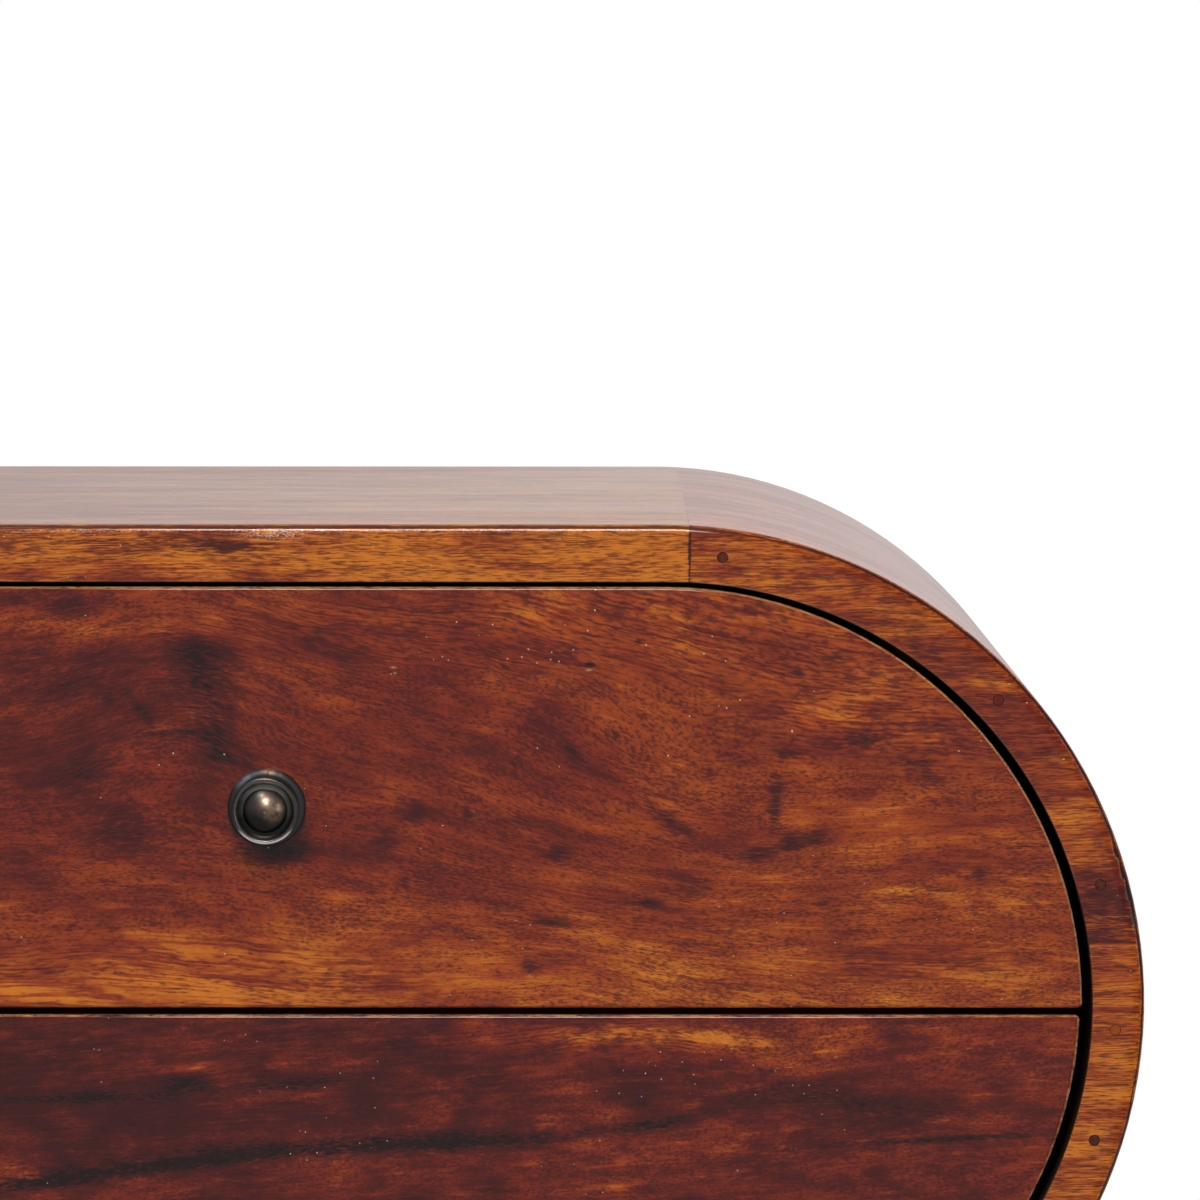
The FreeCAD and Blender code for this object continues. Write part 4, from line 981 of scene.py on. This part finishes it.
# %% [markdown]
# ## Screws, filler and feet
# Screws are zinc plated, and the feet stand on dull plastic glides. Both are
# one mottled recipe with their own values. The nail holes are stopped with a
# dark filler, which is tinted to the board at a few of the nails.

# %% Small finishes
def mottled(name, dark, light, cell, metallic, rough_low, rough_high, bump_depth):
    """A colour and a roughness that vary with one noise, and a bump from a finer one."""
    material, tree, shader, place = start_material(name)
    spots = fade(tree, cloud(tree, place, (cell, cell, cell), 4.0, 0.6), 0.32, 0.68)
    fine = cloud(tree, place, (cell / 4, cell / 4, cell / 4), 3.0)
    fill(tree, shader.inputs, {
        "Base Color": blend_colour(tree, spots, (*dark, 1.0), (*light, 1.0)), "Metallic": metallic,
        "Roughness": blend_value(tree, spots, rough_high, rough_low),
        "Normal": bumped(tree, fine, 0.4, bump_depth)})
    return material


FILLER = ((0.040, 0.011, 0.008, 1.0), (0.090, 0.024, 0.013, 1.0))
PALE_FILLER = (0.260, 0.055, 0.009, 1.0)
RED_FILLER = (0.105, 0.013, 0.008, 1.0)
PALE_PLUGS = [(265, 387, 4, 4, 0, 0.95), (-265, 387, 4, 4, 0, 0.95)]
RED_PLUGS = [(228, 490.4, 4, 4, 0, 0.85), (-228, 490.4, 4, 4, 0, 0.85)]


def nail_filler():
    """Dark filler, tinted to the board at a few of the nails."""
    material, tree, shader, place = start_material("nail_filler")
    spots = fade(tree, cloud(tree, place, (1.2, 1.2, 1.2), 4.0, 0.6), 0.32, 0.68)
    colour = blend_colour(tree, spots, *FILLER)
    colour = blend_colour(tree, patch_sum(tree, place, PALE_PLUGS), colour, PALE_FILLER)
    colour = blend_colour(tree, patch_sum(tree, place, RED_PLUGS), colour, RED_FILLER)
    fill(tree, shader.inputs, {"Base Color": colour, "Roughness": blend_value(tree, spots, 0.8, 0.6),
                               "Specular IOR Level": 0.12})
    return material


zinc = mottled("zinc_plate", (0.42, 0.42, 0.41), (0.62, 0.61, 0.58), 3.0, 1.0, 0.25, 0.42, 0.00005)
nylon = mottled("foot_plastic", (0.030, 0.024, 0.020), (0.050, 0.042, 0.036), 5.0, 0.0, 0.55, 0.7, 0.0001)
for level in ("upper", "lower"):
    dress(zinc, level + "_knob_screw", level + "_stop_button_screw")
dress(zinc, "back_panel_screws", "runner_screws", "cleat_screws", "leg_bolts")
dress(nail_filler(), "nail_plugs")
dress(nylon, "leg_glides")
print("screws, filler and glides dressed")

# %% [markdown]
# ## Bronze knobs
# A knob is a plate, a turned head with a raised ring, a dish and a dome. Hands
# have polished the ring and the dome, the dish has stayed nearly black. So the
# colour is a ramp over the distance from the knob's axis, with warm rubbed
# spots on the dome. Painted highlights, warm and bluish, lie on the plate's
# upper side, painted shade darkens the lower dome and dish, and a painted
# silvery reflection lightens the low rim.

# %% Knobs
ZONES = [(0.00, (0.075, 0.072, 0.068)), (0.50, (0.085, 0.080, 0.075)), (0.545, (0.20, 0.20, 0.19)),
         (0.60, (0.105, 0.105, 0.10)), (0.67, (0.070, 0.068, 0.065)), (0.70, (0.30, 0.265, 0.240)),
         (0.72, (0.24, 0.215, 0.200)), (0.745, (0.070, 0.066, 0.064)), (0.80, (0.060, 0.058, 0.057)),
         (0.82, (0.050, 0.048, 0.048)), (0.93, (0.045, 0.044, 0.045))]
ZONES_REACH = 12.8                  # millimetres from the axis
DISH_STARTS, DISH_STOPS = (6.7, 7.2), (8.9, 8.5)
RING_STARTS, RING_STOPS = (9.5, 9.8), (10.6, 10.3)
PLATE_STARTS = (10.4, 10.8)
RUBBED_BRONZE_AND_HIGHLIGHT = (0.42, 0.27, 0.17, 1.0)
BLUISH_HIGHLIGHT = (0.17, 0.18, 0.20, 1.0)
# painted silvery reflection on the lower rim
PAINTED_SILVERY_REFLECTION = (0.62, 0.58, 0.55, 1.0)
# near-black painted shade for the lower dome and dish
KNOB_PAINTED_SHADE = (0.010, 0.010, 0.010, 1.0)
WARM_RUB_AND_HIGHLIGHT_SPOTS = [(2.0, 1.8, 4.0, 3.0, -40, 0.9), (1.0, 11.6, 2.2, 1.2, 0, 0.8)]     # z from the axis; the first is rubbed bronze on the dome, the second a painted highlight on the plate's top
# painted bluish highlights on the plate's upper left and top
PAINTED_HIGHLIGHT_SPOTS = [(-6.8, 9.4, 4.5, 1.6, 38, 0.9), (3.5, 11.2, 1.6, 1.0, -20, 0.6)]


def raised(spots, axis_height):
    """The same patches, with the axis's height added to theirs."""
    return [(x, axis_height + z, *rest) for x, z, *rest in spots]


def knob_rings(tree, reach, rise):
    """Bronze by distance from the axis, with painted shade low on the dome and dish, and a painted silvery
    reflection on the low rim.
    """
    rings = colour_ramp(tree, calc(tree, "DIVIDE", reach, ZONES_REACH), ZONES)
    # painted shade: darker towards the bottom of the dome and the dish
    low_dome = calc(tree, "MULTIPLY", fade(tree, rise, 2.0, -2.5), 0.90)
    in_dish = calc(tree, "MULTIPLY", fade(tree, reach, *DISH_STARTS), fade(tree, rise, 6.5, 2.0))
    painted_shade = calc(tree, "MAXIMUM", low_dome, calc(tree, "MULTIPLY", in_dish, 0.65))
    painted_shade = calc(tree, "MULTIPLY", painted_shade, fade(tree, reach, *DISH_STOPS))
    rings = blend_colour(tree, painted_shade, rings, KNOB_PAINTED_SHADE)
    # painted reflection: the lower rim is lightened to silver
    low_rim_reflection = calc(tree, "MULTIPLY", fade(tree, rise, -5.0, -8.0), fade(tree, reach, *RING_STARTS))
    low_rim_reflection = calc(tree, "MULTIPLY", low_rim_reflection, fade(tree, reach, *RING_STOPS))
    return blend_colour(tree, low_rim_reflection, rings, PAINTED_SILVERY_REFLECTION)


def knob_bronze(name, axis_height):
    """Bronze in rings about a level axis at x = 0 and the given height, with warm rubbed spots and painted
    highlights.
    """
    material, tree, shader, place = start_material(name)
    parts = axes(tree, place)
    rise = calc(tree, "SUBTRACT", parts["Z"], axis_height)
    reach = length(tree, vector(tree, X=parts["X"], Z=rise))
    patchy = fade(tree, cloud(tree, place, (2.4, 2.4, 2.4), 4.0, 0.6), 0.28, 0.60)
    warm_rub_and_highlight = calc(tree, "MULTIPLY", patch_sum(tree, place, raised(WARM_RUB_AND_HIGHLIGHT_SPOTS, axis_height)), patchy)
    painted_highlight = calc(tree, "MULTIPLY", patch_sum(tree, place, raised(PAINTED_HIGHLIGHT_SPOTS, axis_height)), patchy)
    colour = blend_colour(tree, warm_rub_and_highlight, knob_rings(tree, reach, rise), RUBBED_BRONZE_AND_HIGHLIGHT)
    colour = blend_colour(tree, painted_highlight, colour, BLUISH_HIGHLIGHT)
    dull = calc(tree, "MULTIPLY", fade(tree, reach, *PLATE_STARTS), 0.25)
    relief = cloud(tree, place, (1.6, 1.6, 1.6), 2.0)
    fill(tree, shader.inputs, {
        "Base Color": colour, "Metallic": 1.0, "Normal": bumped(tree, relief, 0.4, 0.00006),
        "Roughness": calc(tree, "ADD", blend_value(tree, patchy, 0.44, 0.33), dull)})
    return material


for level in ("upper", "lower"):
    low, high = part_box(level + "_knob")
    height = 500 * (low[2] + high[2])
    dress(knob_bronze(level + "_bronze", height), level + "_knob", level + "_knob_plate")
    print(level, "knob at", round(height, 1), "mm")
